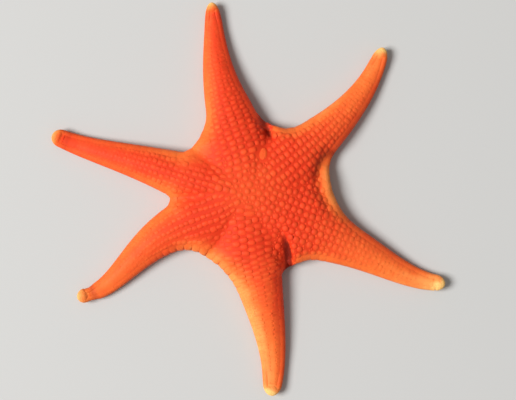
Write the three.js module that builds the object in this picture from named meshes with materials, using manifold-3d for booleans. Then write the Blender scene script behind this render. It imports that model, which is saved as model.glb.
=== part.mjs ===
// A six-armed sea star at life size, lying flat on its oral side with its arm tips turned up.
// Millimetres, +Z up. The origin is on the floor, under the middle of the animal's outline.
//
// The body is one form, parted by thin cuts into a central disc, six arms and six arm tips, with
// the sieve plate (madreporite) let into a pocket of the disc. Each arm is a row of stations
// along a bent axis. At a station the back is a dome between the two edges, and the underside is
// flat, with the groove of the tube feet along its middle.

import * as THREE from "three";
import { mergeVertices } from "three/addons/utils/BufferGeometryUtils.js";
import Module from "manifold-3d";

// ---- Driving dimensions ----

const DISC_CENTRE = new THREE.Vector2(-0.17, 2.44);

// One row per arm, anticlockwise seen from above, from the one that points furthest back.
// heading: direction of the straight line from disc centre to tip, degrees from +X.
// reach: length of that line. bend: how the axis leaves it, see axisAt.
// girth: half width halfway out, and the half width that the arm narrows to at its tip.
// notch: how deep the step is behind the arm's end plate, as a part of the half width.
// round: length of the tip's round end, as a part of its half width.
const ARMS = [
  { heading: 100.8, reach: 77.2, bend: [-28.7, 110.1, -76.4], girth: [8.4, 2.9], notch: 0.03, round: 2.0 },
  { heading: 163.3, reach: 81.2, bend: [15.8, -50.3, 49.9], girth: [7.5, 3.45], notch: 0, round: 0.95 },
  { heading: 211.2, reach: 79.5, bend: [25.2, -168.6, 188.3], girth: [7.7, 2.9], notch: 0.22, round: 0.95 },
  { heading: 276.4, reach: 81.2, bend: [-10.2, 20.1, 16.2], girth: [8.6, 3.8], notch: 0.03, round: 1.3 },
  { heading: 335.4, reach: 86.3, bend: [-46.0, 138.4, -132.2], girth: [8.7, 3.2], notch: 0.03, round: 1.1 },
  { heading: 47.1, reach: 79.0, bend: [-13.8, -17.8, -9.5], girth: [7.9, 3.1], notch: 0.03, round: 1.7 },
].map((arm, index) => ({ name: `arm_${index + 1}`, ...arm }));

// The corner between each arm and the next. bearing and radius place it from the disc centre,
// and web is how far the curved skin of the corner reaches out along each arm.
const AXILS = [
  { bearing: 141.1, radius: 28.5, web: [11.1, 2.7] },
  { bearing: 184.2, radius: 30.8, web: [2.5, 2.5] },
  { bearing: 238.8, radius: 30.4, web: [15.8, 18.1] },
  { bearing: 296.5, radius: 33.7, web: [2.5, 9.5] },
  { bearing: 9.9, radius: 33.0, web: [20.8, 9.6] },
  { bearing: 69.7, radius: 28.6, web: [12.9, 13.1] },
];

const DISC_HEIGHT = 13.2;
const TIP_HEIGHT = 4.0;
const AXIL_HEIGHT = 6.2; // of the back, in the corner between two arms
const VALLEY_POWER = 2.3; // how late the valley between two arms falls away from the disc
const EDGE_TOP = 0.42; // where the arm's side turns into its back, as a part of the arm's height
const EDGE_UNDERSIDE = 1.3; // how far the outer edge of the underside lifts off the floor
const DOME = { disc: 1.5, axil: 0.62, arm: 0.5 }; // power of the back's dome: 0.5 is an ellipse
const TIP_LIFT = 2.4; // how far the tip turns up
const TIP_MIDDLE = 0.45; // the height on which the round tip closes, as a part of the arm's height
const LIFT_START = 0.84; // the part of the arm's reach that lies flat
const TAPER = 1.4; // power of the narrowing towards the tip
const RIDGE_POWER = 1.25; // how the ridge of the back falls from the disc to the tip
const NOTCH_WIDTH = 1.1; // of the step behind the end plate, along the arm
const WEB_BLEND = 0.12; // part of the reach in which the section turns from web to arm
const WEB_SQUARE = 0.05; // part of the reach past the webs where sections stand square to the axis

const TIP_LENGTH = 4.6; // of the end plate at each arm's tip
const CUT = 0.34; // between two neighbouring solids
const DISC_BEYOND_AXIL = 0.03; // the disc ends this part of an arm's reach past its axils

// The groove has a nearly flat roof, wallAt being where its walls start to come down.
const GROOVE = { halfWidth: 1.7, tipHalfWidth: 0.8, depth: 2.3, tipDepth: 1.2, wallAt: 0.6, wallDrop: 0.15 };
const MOUTH = { radius: 5.5, depth: 3.4, flat: 0.55 }; // flat: the part of the radius under a flat roof

// It lies in the slope of the back, turned a little from the line to the disc centre.
const MADREPORITE = {
  bearing: 68.7,
  radius: 16.5,
  turn: 16,
  slope: 16,
  halfWidth: 1.6,
  halfLength: 2.5,
  rise: 0.55,
  sunk: 1.2,
};

// ---- Mesh fineness ----

const COLUMNS = 6; // from an arm's axis to one edge
const DISC_STATIONS = 8;
const ARM_STATIONS = 15;
const TIP_STATIONS = 5;
const AXIS_SEARCH_STEPS = 30;

// ---- Plan of the arms ----

const { clamp, degToRad, lerp, smoothstep } = THREE.MathUtils;

function fromCentre(bearing, radius) {
  const angle = degToRad(bearing);
  return new THREE.Vector2(Math.cos(angle), Math.sin(angle)).multiplyScalar(radius).add(DISC_CENTRE);
}

// The arm's axis at a part s of its reach: the point, and the direction to the arm's left.
function axisAt(arm, s) {
  const [a, b, c] = arm.bend;
  const sway = a + b * s + c * s * s;
  const aside = s * (1 - s) * sway;
  const slope = (1 - 2 * s) * sway + s * (1 - s) * (b + 2 * c * s);
  const angle = degToRad(arm.heading);
  const along = new THREE.Vector2(Math.cos(angle), Math.sin(angle));
  const across = new THREE.Vector2(-along.y, along.x);
  const point = DISC_CENTRE.clone().addScaledVector(along, s * arm.reach).addScaledVector(across, aside);
  const left = across.multiplyScalar(arm.reach).addScaledVector(along, -slope).normalize();
  return { point, left };
}

// The arm's half width, before the webs of its axils and the round end of its tip.
function taperedHalfWidth(arm, s) {
  const [mid, tip] = arm.girth;
  return tip + (mid - tip) * Math.pow(2 * (1 - s), TAPER);
}

// The part of the reach where a line square to the axis meets a point beside it.
function stationBeside(arm, target) {
  let [low, high] = [0, 1];
  for (let step = 0; step < AXIS_SEARCH_STEPS; step++) {
    const s = (low + high) / 2;
    const { point, left } = axisAt(arm, s);
    const ahead = target.clone().sub(point).cross(left) > 0;
    [low, high] = ahead ? [s, high] : [low, s];
  }
  return (low + high) / 2;
}

// One side of an arm: its corner with the neighbour, and the web that leads from there to the
// arm's own taper, as a cubic that leaves the corner square to the disc's radius.
function armSide(arm, axil, sign, web) {
  const corner = fromCentre(axil.bearing, axil.radius);
  const start = stationBeside(arm, corner);
  const { point, left } = axisAt(arm, start);
  const halfWidth = corner.distanceTo(point);
  const outwards = corner.clone().sub(DISC_CENTRE).normalize();
  const acrossness = outwards.dot(left) * sign;
  const cornerSlope = -Math.sqrt(1 - acrossness * acrossness) / acrossness;
  return { sign, corner, start, halfWidth, cornerSlope, end: start + web / arm.reach };
}

function halfWidthAt(arm, side, s) {
  if (s >= side.end) return taperedHalfWidth(arm, s);
  const span = side.end - side.start;
  const step = 1e-4;
  const endSlope = (taperedHalfWidth(arm, side.end + step) - taperedHalfWidth(arm, side.end)) / step;
  const t = (s - side.start) / span;
  return (
    side.halfWidth * (2 * t ** 3 - 3 * t ** 2 + 1) +
    side.cornerSlope * span * arm.reach * (t ** 3 - 2 * t ** 2 + t) +
    taperedHalfWidth(arm, side.end) * (3 * t ** 2 - 2 * t ** 3) +
    endSlope * span * (t ** 3 - t ** 2)
  );
}

// The corners on an arm's right and on its left.
function axilsOf(index) {
  return [AXILS[(index + AXILS.length - 1) % AXILS.length], AXILS[index]];
}

// ---- Heights ----

function ridgeHeight(s) {
  return TIP_HEIGHT + (DISC_HEIGHT - TIP_HEIGHT) * Math.pow(Math.cos((s * Math.PI) / 2), RIDGE_POWER);
}

function tipLift(s) {
  return TIP_LIFT * clamp((s - LIFT_START) / (1 - LIFT_START), 0, 1) ** 2;
}

// How much of its full section is left at s: 1 along the arm, falling to 0 round the tip's end.
function roundEnd(arm, s) {
  const start = 1 - (arm.girth[1] * arm.round) / arm.reach;
  const t = clamp((s - start) / (1 - start), 0, 1);
  return Math.sqrt(1 - t * t);
}

function notchAt(arm, s) {
  const fromCut = ((s - tipStart(arm)) * arm.reach) / NOTCH_WIDTH;
  return 1 - arm.notch * Math.exp(-fromCut * fromCut);
}

function tipStart(arm) {
  return 1 - TIP_LENGTH / arm.reach;
}

// ---- Sections ----

// The height of an arm's back at s. across is 0 on the axis and 1 at the edge, and inDisc is how
// far the edge has come from the disc's centre to its corner between two arms.
function backHeightAt(s, axilStation, across, inDisc, ridge) {
  const valley = lerp(DISC_HEIGHT, AXIL_HEIGHT, Math.pow(inDisc, VALLEY_POWER));
  const pastAxil = smoothstep(s, axilStation, axilStation + WEB_BLEND);
  const inside = s <= axilStation;
  const rim = inside ? valley : lerp(AXIL_HEIGHT, ridge * EDGE_TOP, pastAxil);
  const roundness = inside
    ? lerp(DOME.disc, DOME.axil, Math.pow(inDisc, 1.5))
    : lerp(DOME.axil, DOME.arm, pastAxil);
  return rim + (ridge - rim) * Math.pow(Math.cos((across * Math.PI) / 2), 2 * roundness);
}

// The underside's columns, from the axis out: how far each lies towards the edge, and its height.
function undersideAt(column, s, axis, rim, inDisc) {
  const grooveHalf = lerp(GROOVE.halfWidth, GROOVE.tipHalfWidth, s);
  const grooveEdge = Math.min(grooveHalf / Math.max(axis.distanceTo(rim), 0.01), 0.5);
  const pastGroove = (column - 2) / (COLUMNS - 2);
  const out = [0, GROOVE.wallAt * grooveEdge][column] ?? lerp(grooveEdge, 1, pastGroove);
  const plan = axis.clone().lerp(rim, out);
  const depth = lerp(GROOVE.depth, GROOVE.tipDepth, s);
  const groove = column <= 1 ? depth * (1 - GROOVE.wallDrop * column) : 0;
  const fromMouth = smoothstep(plan.distanceTo(DISC_CENTRE), MOUTH.radius * MOUTH.flat, MOUTH.radius);
  const mouth = MOUTH.depth * (1 - fromMouth);
  const edge = column === COLUMNS ? EDGE_UNDERSIDE * smoothstep(inDisc, 0.8, 1) : 0;
  return { plan, height: Math.max(groove, mouth, edge) };
}

// Makes the function that gives an arm's section at s: the plan point and height of each column
// on the back and on the underside, from the right edge to the left one.
function sectionMaker(arm, index) {
  const [before, after] = axilsOf(index);
  const sides = [armSide(arm, before, -1, before.web[1]), armSide(arm, after, 1, after.web[0])];
  const axilStation = (sides[0].start + sides[1].start) / 2;
  const squareFrom = Math.max(sides[0].end, sides[1].end) + WEB_SQUARE;

  // The edge of the section on one side. In the disc it is the line from the centre to a corner.
  function edge(side, s) {
    if (s <= axilStation) {
      const inDisc = s / axilStation;
      return { rim: DISC_CENTRE.clone().lerp(side.corner, inDisc), inDisc };
    }
    const t = (s - axilStation) / (squareFrom - axilStation);
    const station = s >= squareFrom ? s : lerp(side.start, squareFrom, t);
    const { point, left } = axisAt(arm, station);
    const halfWidth = halfWidthAt(arm, side, station) * roundEnd(arm, station) * notchAt(arm, station);
    return { rim: point.addScaledVector(left, side.sign * halfWidth), inDisc: 1 };
  }

  return function section(s) {
    const axis = axisAt(arm, s).point;
    const ridge = ridgeHeight(s) * (0.5 + 0.5 * notchAt(arm, s));
    const back = [];
    const underside = [];
    for (let column = -COLUMNS; column <= COLUMNS; column++) {
      const { rim, inDisc } = edge(sides[column < 0 ? 0 : 1], s);
      const across = Math.abs(column) / COLUMNS;
      const plan = axis.clone().lerp(rim, Math.sin((across * Math.PI) / 2));
      back.push({ plan, height: backHeightAt(s, axilStation, across, inDisc, ridge) });
      underside.push(undersideAt(Math.abs(column), s, axis, rim, inDisc));
    }
    // Round the end of the tip both faces close on the height of its middle.
    const left = roundEnd(arm, s);
    for (const place of [...back, ...underside]) {
      place.height = lerp(TIP_MIDDLE * ridge, place.height, left) + tipLift(s);
    }
    return { back, underside, edgesOpen: s > axilStation + 1e-6 };
  };
}

// ---- Solids ----

// Collects the triangles of a solid made of stations, then merges and cleans them.
class SolidBuilder {
  constructor() {
    this.positions = [];
  }

  triangle(a, b, c) {
    for (const { plan, height } of [a, b, c]) this.positions.push(plan.x, plan.y, height);
  }

  quad(a, b, c, d) {
    this.triangle(a, b, c);
    this.triangle(a, c, d);
  }

  // The back, underside and side walls between two neighbouring sections.
  span(inner, outer) {
    const last = 2 * COLUMNS;
    for (let j = 0; j < last; j++) {
      this.quad(inner.back[j], outer.back[j], outer.back[j + 1], inner.back[j + 1]);
      this.quad(inner.underside[j + 1], outer.underside[j + 1], outer.underside[j], inner.underside[j]);
    }
    if (outer.edgesOpen) {
      this.quad(inner.underside[0], outer.underside[0], outer.back[0], inner.back[0]);
      this.quad(inner.back[last], outer.back[last], outer.underside[last], inner.underside[last]);
    }
  }

  // A flat end across a section, facing along the arm, or back towards the disc.
  end(section, facesOut) {
    const { back, underside } = section;
    for (let j = 0; j < 2 * COLUMNS; j++) {
      const corners = [back[j], underside[j], underside[j + 1], back[j + 1]];
      if (!facesOut) corners.reverse();
      this.quad(...corners);
    }
  }

  arm(sections, closedTip) {
    this.end(sections[0], false);
    for (let k = 1; k < sections.length; k++) this.span(sections[k - 1], sections[k]);
    if (!closedTip) this.end(sections[sections.length - 1], true);
  }

  geometry() {
    const loose = new THREE.BufferGeometry();
    loose.setAttribute("position", new THREE.Float32BufferAttribute(this.positions, 3));
    return withoutFlatFaces(mergeVertices(loose, 1e-4));
  }
}

// Drops the triangles that closed to a line when their vertices were merged.
function withoutFlatFaces(geometry) {
  const old = geometry.index.array;
  const kept = [];
  for (let i = 0; i < old.length; i += 3) {
    const [a, b, c] = [old[i], old[i + 1], old[i + 2]];
    if (a !== b && b !== c && c !== a) kept.push(a, b, c);
  }
  geometry.setIndex(kept);
  return geometry;
}

const wasm = await Module();
wasm.setup();

function toManifold(geometry) {
  const bare = geometry.clone();
  bare.deleteAttribute("normal");
  bare.deleteAttribute("uv");
  const merged = withoutFlatFaces(mergeVertices(bare, 1e-4));
  const vertProperties = new Float32Array(merged.attributes.position.array);
  const triVerts = new Uint32Array(merged.index.array);
  return new wasm.Manifold(new wasm.Mesh({ numProp: 3, vertProperties, triVerts }));
}

function fromManifold(solid) {
  const { vertProperties, triVerts } = solid.getMesh();
  const geometry = new THREE.BufferGeometry();
  geometry.setAttribute("position", new THREE.Float32BufferAttribute(vertProperties, 3));
  geometry.setIndex(new THREE.Uint32BufferAttribute(triVerts, 1));
  return geometry;
}

// ---- The sieve plate ----

// A low oval button whose long way points out from the disc centre, in the slope of the back.
function button(halfWidth, halfLength, below, above) {
  const foot = [[0, -below], [0.82, -below], [0.96, -below * 0.4], [1, 0]];
  const crown = [[0.9, above * 0.6], [0.55, above * 0.95], [0, above]];
  const points = [...foot, ...crown].map(([across, up]) => new THREE.Vector2(across, up));
  return new THREE.LatheGeometry(points, 20).rotateX(Math.PI / 2).scale(halfLength, halfWidth, 1);
}

function madreporitePlace() {
  const plan = fromCentre(MADREPORITE.bearing, MADREPORITE.radius);
  const tilt = new THREE.Matrix4().makeRotationY(degToRad(MADREPORITE.slope));
  const turn = new THREE.Matrix4().makeRotationZ(degToRad(MADREPORITE.bearing + MADREPORITE.turn));
  return { plan, turn: turn.multiply(tilt) };
}

// The height of the disc's back over a point in plan.
function backHeight(geometry, plan) {
  const mesh = new THREE.Mesh(geometry, new THREE.MeshBasicMaterial({ side: THREE.DoubleSide }));
  const above = new THREE.Vector3(plan.x, plan.y, 2 * DISC_HEIGHT);
  const hits = new THREE.Raycaster(above, new THREE.Vector3(0, 0, -1)).intersectObject(mesh);
  return hits[0].point.z;
}

// ---- Assembly ----

function material(color, roughness) {
  return new THREE.MeshStandardMaterial({ color, roughness, metalness: 0 });
}

const VERMILION = material(0xef4a24, 0.55);
const PALE_ORANGE = material(0xffb054, 0.5);
const SIEVE_ORANGE = material(0xff7440, 0.6);

const star = new THREE.Group();
star.name = "sea_star";

function addNode(name, geometry, finish) {
  const mesh = new THREE.Mesh(geometry, finish);
  mesh.name = name;
  star.add(mesh);
}

function evenly(from, to, steps) {
  return Array.from({ length: steps + 1 }, (_, k) => lerp(from, to, k / steps));
}

const makers = ARMS.map(sectionMaker);

// The stations of an arm's two axils, halved, and where the disc ends on it, just past them.
function discEnd(arm, index) {
  const [before, after] = axilsOf(index).map(({ bearing, radius }) =>
    stationBeside(arm, fromCentre(bearing, radius)),
  );
  const axil = (before + after) / 2;
  return { axil, end: axil + DISC_BEYOND_AXIL };
}

function buildDisc() {
  const builder = new SolidBuilder();
  ARMS.forEach((arm, index) => {
    const { axil, end } = discEnd(arm, index);
    const sections = [...evenly(0, axil, DISC_STATIONS), end].map(makers[index]);
    for (let k = 1; k < sections.length; k++) builder.span(sections[k - 1], sections[k]);
    builder.end(sections[sections.length - 1], true);
  });
  return builder.geometry();
}

function buildArm(arm, index) {
  const builder = new SolidBuilder();
  const start = discEnd(arm, index).end + CUT / arm.reach;
  const end = tipStart(arm) - CUT / arm.reach;
  builder.arm(evenly(start, end, ARM_STATIONS).map(makers[index]), false);
  return builder.geometry();
}

function buildTip(arm, index) {
  const builder = new SolidBuilder();
  const round = evenly(0, 1, TIP_STATIONS).map((t) => Math.sin((t * Math.PI) / 2));
  const stations = round.map((t) => lerp(tipStart(arm), 1, t));
  builder.arm(stations.map(makers[index]), true);
  return builder.geometry();
}

const disc = buildDisc();
const { plan: sievePlan, turn: sieveTurn } = madreporitePlace();
const sieveHeight = backHeight(disc, sievePlan);
const seat = new THREE.Matrix4().makeTranslation(sievePlan.x, sievePlan.y, sieveHeight).multiply(sieveTurn);
const { halfWidth, halfLength, sunk, rise } = MADREPORITE;
const pocket = button(halfWidth + CUT, halfLength + CUT, sunk + CUT, rise + 1).applyMatrix4(seat);
const sieve = button(halfWidth, halfLength, sunk, rise).applyMatrix4(seat);

addNode("central_disc", fromManifold(toManifold(disc).subtract(toManifold(pocket))), VERMILION);
ARMS.forEach((arm, index) => {
  addNode(arm.name, buildArm(arm, index), VERMILION);
  addNode(arm.name.replace("arm", "arm_tip"), buildTip(arm, index), PALE_ORANGE);
});
addNode("madreporite", fromManifold(toManifold(sieve)), SIEVE_ORANGE);

export default star;
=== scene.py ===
"""A six-armed vermilion sea star at life size.

Its skin, plates, sieve plate, feet and jaws are built on its solids.
"""
import math
from collections import namedtuple

import bpy
import numpy as np
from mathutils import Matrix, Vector
from mathutils.bvhtree import BVHTree
from mathutils.kdtree import KDTree


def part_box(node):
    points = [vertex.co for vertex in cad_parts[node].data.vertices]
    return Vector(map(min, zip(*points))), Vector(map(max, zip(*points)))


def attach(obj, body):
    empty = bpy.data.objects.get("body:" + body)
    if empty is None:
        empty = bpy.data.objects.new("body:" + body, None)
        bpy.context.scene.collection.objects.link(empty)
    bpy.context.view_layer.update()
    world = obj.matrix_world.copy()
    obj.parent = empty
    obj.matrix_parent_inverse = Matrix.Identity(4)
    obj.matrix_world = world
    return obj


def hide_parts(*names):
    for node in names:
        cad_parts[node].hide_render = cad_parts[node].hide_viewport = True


bl_info = {
    "name": "Sea Star",
    "version": (1, 0, 0),
    "blender": (4, 5, 0),
    "location": "View3D > Sidebar > Sea Star",
    "description": "Builds the skin, plates, feet and jaws of a six-armed sea star on its solids",
    "category": "Add Mesh",
}

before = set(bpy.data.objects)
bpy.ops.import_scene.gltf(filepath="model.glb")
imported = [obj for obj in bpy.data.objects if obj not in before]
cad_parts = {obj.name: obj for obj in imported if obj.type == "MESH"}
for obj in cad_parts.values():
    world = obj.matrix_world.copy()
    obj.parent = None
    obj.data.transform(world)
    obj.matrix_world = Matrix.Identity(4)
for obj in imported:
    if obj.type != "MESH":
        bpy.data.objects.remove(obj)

BODY = "root"
MM = 0.001
SEED = 11

# ---- The plan of the animal, as in its solids: millimetres and degrees ----

DISC_CENTRE = np.array([-0.17, 2.44])

# Anticlockwise seen from above. heading, reach and bend give the axis, see axis_at.
# Then come the rows of plates on the back: their pitch along and across the arm at its base, middle
# and tip, how much of that pitch a plate fills each way, how a row across the arm leans and bows,
# and how square its plates are. relief is how much its plates stand out beyond its base, which also
# sets the painted shade in their gaps, warmth how orange the arm turns outwards, tip how pale its end
# is and over what length, and band how dark the painted shade in the ring behind the end is.
Arm = namedtuple("Arm", "name heading reach bend along across fill lean bow square relief warmth tip band")
ARMS = (
    Arm(
        "arm_1", 100.8, 77.2, (-28.7, 110.1, -76.4),
        along=(2.6, 2.1, 1.8, 1.3), across=(3.3, 3.3, 2.5, 1.5), fill=(0.98, 0.95),
        lean=0, bow=-0.02, square=1, relief=1.2, warmth=0, tip=(1.0, 5.5), band=0.2,
    ),
    Arm(
        "arm_2", 163.3, 81.2, (15.8, -50.3, 49.9),
        along=(2.8, 2.4, 1.8, 1.3), across=(2.6, 2.3, 2.1, 1.5), fill=(1.16, 0.84),
        lean=0.1, bow=0, square=1, relief=1.1, warmth=0, tip=(0.9, 5.0), band=0.25,
    ),
    Arm(
        "arm_3", 211.2, 79.5, (25.2, -168.6, 188.3),
        along=(2.4, 2.1, 1.8, 1.3), across=(3.0, 2.9, 2.2, 1.4), fill=(1.34, 0.7),
        lean=0, bow=0, square=1, relief=0.9, warmth=0.43, tip=(0.5, 6.5), band=0.4,
    ),
    Arm(
        "arm_4", 276.4, 81.2, (-10.2, 20.1, 16.2),
        along=(2.9, 2.15, 1.65, 1.3), across=(3.2, 3.4, 3.0, 1.6), fill=(0.9, 1.1),
        lean=-0.3, bow=0.01, square=1, relief=0.6, warmth=0.61, tip=(0.55, 6.5), band=0,
    ),
    Arm(
        "arm_5", 335.4, 86.3, (-46.0, 138.4, -132.2),
        along=(2.75, 2.65, 2.15, 1.3), across=(2.75, 2.7, 2.4, 1.6), fill=(1, 1),
        lean=0, bow=0, square=0, relief=1.0, warmth=0.65, tip=(0.42, 13), band=0,
    ),
    Arm(
        "arm_6", 47.1, 79.0, (-13.8, -17.8, -9.5),
        along=(2.3, 2.1, 1.8, 1.3), across=(3.0, 3.0, 2.5, 1.5), fill=(1.14, 0.88),
        lean=0, bow=0, square=1, relief=1.25, warmth=0.54, tip=(0.6, 6.0), band=0.1,
    ),
)
PITCH_STATIONS = (0.18, 0.35, 0.6, 1.0)

# The corner between each arm and the next: bearing and radius from the disc centre, how smooth the
# back is there, and the looks of the edge: how pale it is at lengths in mm along it from the corner,
# the first arm's side being negative, how far that reaches inwards on the first arm, in the corner
# and on the next arm, how wide the edge's own plates are in those three places, in mm, and how much
# these plates stand out.
# pale is partly the edge's own paler orange and partly painted light: edges that face the key light are made
# paler, and those that face away redder, where the values are negative.
Axil = namedtuple("Axil", "bearing radius smooth pale spread width beaded")
AXILS = (
    Axil(
        141.1, 28.5, smooth=0.8, pale=((-42, 0.3), (-22, 0.5), (8, 0.5), (22, 0.25)),
        spread=(7, 9, 5), width=(2.2, 2.4, 2.2), beaded=0.05,
    ),
    Axil(
        184.2, 30.8, smooth=0.4, pale=((-22, 0.25), (-8, 0.45), (8, 0.5), (22, 0.5)),
        spread=(5, 9.5, 7.5), width=(2.2, 2.4, 2.2), beaded=0.05,
    ),
    Axil(
        238.8, 30.4, smooth=0.5, pale=((-22, -0.05), (-8, 0.6), (8, 0.7), (22, 0.78), (42, 0.85)),
        spread=(7, 7, 12), width=(2.2, 3.2, 2.4), beaded=1,
    ),
    Axil(
        296.5, 33.7, smooth=0, pale=((-42, -0.4), (-12, -0.35), (2, -0.3), (5, 0.45), (42, 0.55)),
        spread=(7, 4, 6.5), width=(2.2, 2.2, 2.2), beaded=0.15,
    ),
    Axil(
        9.9, 33.0, smooth=0,
        pale=((-42, -0.3), (-28, -0.15), (-15, 0.5), (-8, 0.72), (3, 0.72), (15, -0.1), (42, -0.35)),
        spread=(7, 8, 6), width=(2.2, 3.2, 2.2), beaded=0,
    ),
    Axil(
        69.7, 28.6, smooth=0, pale=((-42, 0.5), (-22, 0.6), (-1, 0.5), (2, -0.3), (42, -0.3)),
        spread=(8, 5, 7), width=(2.2, 2.2, 2.2), beaded=0.1,
    ),
)

# Furrows where the bases of two arms meet: the points they run through, their depth, and how wide
# they are to their left and to their right, mm. The depth sinks the skin and also sets how dark the
# painted shade laid in the furrow is.
Furrow = namedtuple("Furrow", "points depth left right")
FURROWS = (
    Furrow(((3.4, 36.5), (6.6, 30.2), (8.8, 25.6), (9.4, 21.6)), 2.8, 0.9, 2.8),
    Furrow(((35.0, 21.5), (31.8, 17.2), (28.8, 12.6), (27.6, 9.0), (27.4, 5.8)), 2.6, 3.0, 3.2),
    Furrow(((27.4, 10.0), (27.8, 4.0), (30.2, -0.8), (34.6, -5.5)), 1.2, 2.2, 2.2),
    Furrow(
        ((12.6, -11.0), (15.4, -17.0), (16.6, -22.0), (16.8, -27.0), (16.6, -32.0), (16.2, -38.0)),
        3.7, 0.9, 3.4,
    ),
    Furrow(((-19.5, 18.5), (-9.0, 9.0)), 0.2, 2.0, 2.0),
    Furrow(((-26.0, 0.8), (-10.0, 2.4)), 0.2, 2.0, 2.0),
    Furrow(((-13.5, -20.0), (-5.0, -5.5)), 0.35, 2.0, 2.0),
)
# A furrow of this depth gets the furrow colour's full painted shade.
FULL_SHADE_DEPTH = 4

# The middle of the back, where the largest plate sits.
BACK_CENTRE = np.array([0.6, 5.8])

# How strongly the plates stand out, and so how much painted shade their gaps get, at these parts of an arm's
# reach.
RELIEF_STATIONS = (0.0, 0.12, 0.25, 0.38, 0.55, 0.75, 1.0)
RELIEF = (0.64, 0.84, 1.0, 0.84, 0.5, 0.22, 0.12)

TIP_LENGTH = 4.6

# The underside, mm: where the mouth ends, each groove's half width at the arm's base and tip, how far
# beside it the plates that line it begin, and their pitch and width at the base and tip.
MOUTH = 5.5
GROOVE = (1.7, 0.8)
GROOVE_RIM = 0.35
GROOVE_PITCH = (1.6, 0.9)
GROOVE_PLATE = (1.7, 1.0)

SIEVE = {"bearing": 68.7, "radius": 16.5, "turn": 16.0, "half_length": 2.5, "half_width": 1.6}

# The border between the rows of two arms on the disc wavers by so many degrees, over so many mm.
WAVER = 4
WAVER_LENGTH = 2.6

# The shade of a plate that is neither brighter nor darker than the rest.
PLAIN_SHADE = 0.6

FLESH = ["central_disc"] + [arm.name for arm in ARMS]
TIPS = [arm.name.replace("arm", "arm_tip") for arm in ARMS]


def ease(x, low, high):
    """0 below low, 1 above high and a smooth step between them. low may be the larger."""
    t = np.clip((x - low) / (high - low), 0, 1)
    return t * t * (3 - 2 * t)


def direction(degrees):
    return np.array([math.cos(math.radians(degrees)), math.sin(math.radians(degrees))])


def axis_at(arm, s):
    """The arm's axis at a part s of its reach, a number or an array.

    Gives points in mm and unit vectors to its left.
    """
    a, b, c = arm.bend
    s = np.asarray(s, float)[..., None]
    along = direction(arm.heading)
    across = np.array([-along[1], along[0]])
    sway = a + b * s + c * s * s
    aside = s * (1 - s) * sway
    slope = (1 - 2 * s) * sway + s * (1 - s) * (b + 2 * c * s)
    left = across * arm.reach - along * slope
    points = DISC_CENTRE + along * s * arm.reach + across * aside
    return points, left / np.linalg.norm(left, axis=-1, keepdims=True)


def tip_start(arm):
    return 1 - TIP_LENGTH / arm.reach


def between(base_and_tip, s):
    """A size at a part s of an arm's reach, given at its base and tip."""
    return np.interp(s, (0, 1), base_and_tip)


def corner(axil):
    return DISC_CENTRE + direction(axil.bearing) * axil.radius


def station_beside(arm, point):
    stations = np.linspace(0, 1, 400)
    points, _ = axis_at(arm, stations)
    return stations[np.argmin(np.linalg.norm(points - point, axis=1))]


def bearings(points):
    """Bearing in degrees and radius in mm of plan points, seen from the disc centre."""
    out = np.asarray(points) - DISC_CENTRE
    return np.degrees(np.arctan2(out[..., 1], out[..., 0])) % 360, np.linalg.norm(out, axis=-1)


def in_wedge(index, points):
    """Whether plan points lie between the two axils of an arm, or out past them."""
    right, left = AXILS[index - 1], AXILS[index]
    bearing, radius = bearings(points)
    bearing = bearing + WAVER * np.sin(radius / WAVER_LENGTH + bearing // 60)
    inside = (bearing - right.bearing) % 360 < (left.bearing - right.bearing) % 360
    return inside | (radius > max(right.radius, left.radius))


# ---- Small tools ----


def select_only(*objects):
    bpy.ops.object.select_all(action="DESELECT")
    for one in objects:
        one.select_set(True)
    bpy.context.view_layer.objects.active = objects[0]


def in_edit_mode(piece, *steps):
    """Runs each step in edit mode with all of the piece selected to begin with."""
    select_only(piece)
    bpy.ops.object.mode_set(mode="EDIT")
    bpy.ops.mesh.select_all(action="SELECT")
    for step in steps:
        step()
    bpy.ops.object.mode_set(mode="OBJECT")


def apply_modifier(piece, kind, **settings):
    select_only(piece)
    modifier = piece.modifiers.new(kind.title(), kind)
    for name, value in settings.items():
        setattr(modifier, name, value)
    bpy.ops.object.modifier_apply(modifier=modifier.name)


def merged_copy(names, new_name):
    """One new object with copies of CAD nodes, their loose triangles merged."""
    copies = []
    for name in names:
        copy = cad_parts[name].copy()
        copy.data = copy.data.copy()
        copy.parent = None
        for key in list(copy.keys()):
            del copy[key]
        bpy.context.scene.collection.objects.link(copy)
        copies.append(copy)
    select_only(*copies)
    if len(copies) > 1:
        bpy.ops.object.join()
    piece = copies[0]
    piece.name = piece.data.name = new_name
    piece.data.materials.clear()
    in_edit_mode(piece, lambda: bpy.ops.mesh.remove_doubles(threshold=1e-6))
    return piece


def coordinates(piece):
    found = np.empty(len(piece.data.vertices) * 3)
    piece.data.vertices.foreach_get("co", found)
    return found.reshape(-1, 3)


def set_coordinates(piece, places):
    piece.data.vertices.foreach_set("co", places.ravel())
    piece.data.update()


def vertex_normals(piece):
    found = np.empty(len(piece.data.vertices) * 3, np.float32)
    piece.data.vertex_normals.foreach_get("vector", found)
    return found.reshape(-1, 3)


def set_values(mesh, **values):
    """Gives the mesh's points values by name, each an array or one number for all."""
    for name, value in values.items():
        attribute = mesh.attributes.new(name, "FLOAT", "POINT")
        attribute.data.foreach_set("value", np.full(len(mesh.vertices), value, np.float32))


def shade_smooth(mesh):
    mesh.polygons.foreach_set("use_smooth", np.ones(len(mesh.polygons), bool))


def stock_shape(add, **settings):
    """A new object made by one of the operators that add a mesh."""
    bpy.ops.object.select_all(action="DESELECT")
    add(**settings)
    return bpy.context.object


def stock_cylinder(vertices, radius, height):
    """A new cylinder that stands on the origin."""
    settings = {"vertices": vertices, "radius": radius, "depth": height, "location": (0, 0, height / 2)}
    return stock_shape(bpy.ops.mesh.primitive_cylinder_add, **settings)


def tree_of(points):
    """Points, for finding the nearest by their number."""
    tree = KDTree(len(points))
    for number, point in enumerate(points):
        tree.insert(point, number)
    tree.balance()
    return tree


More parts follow.
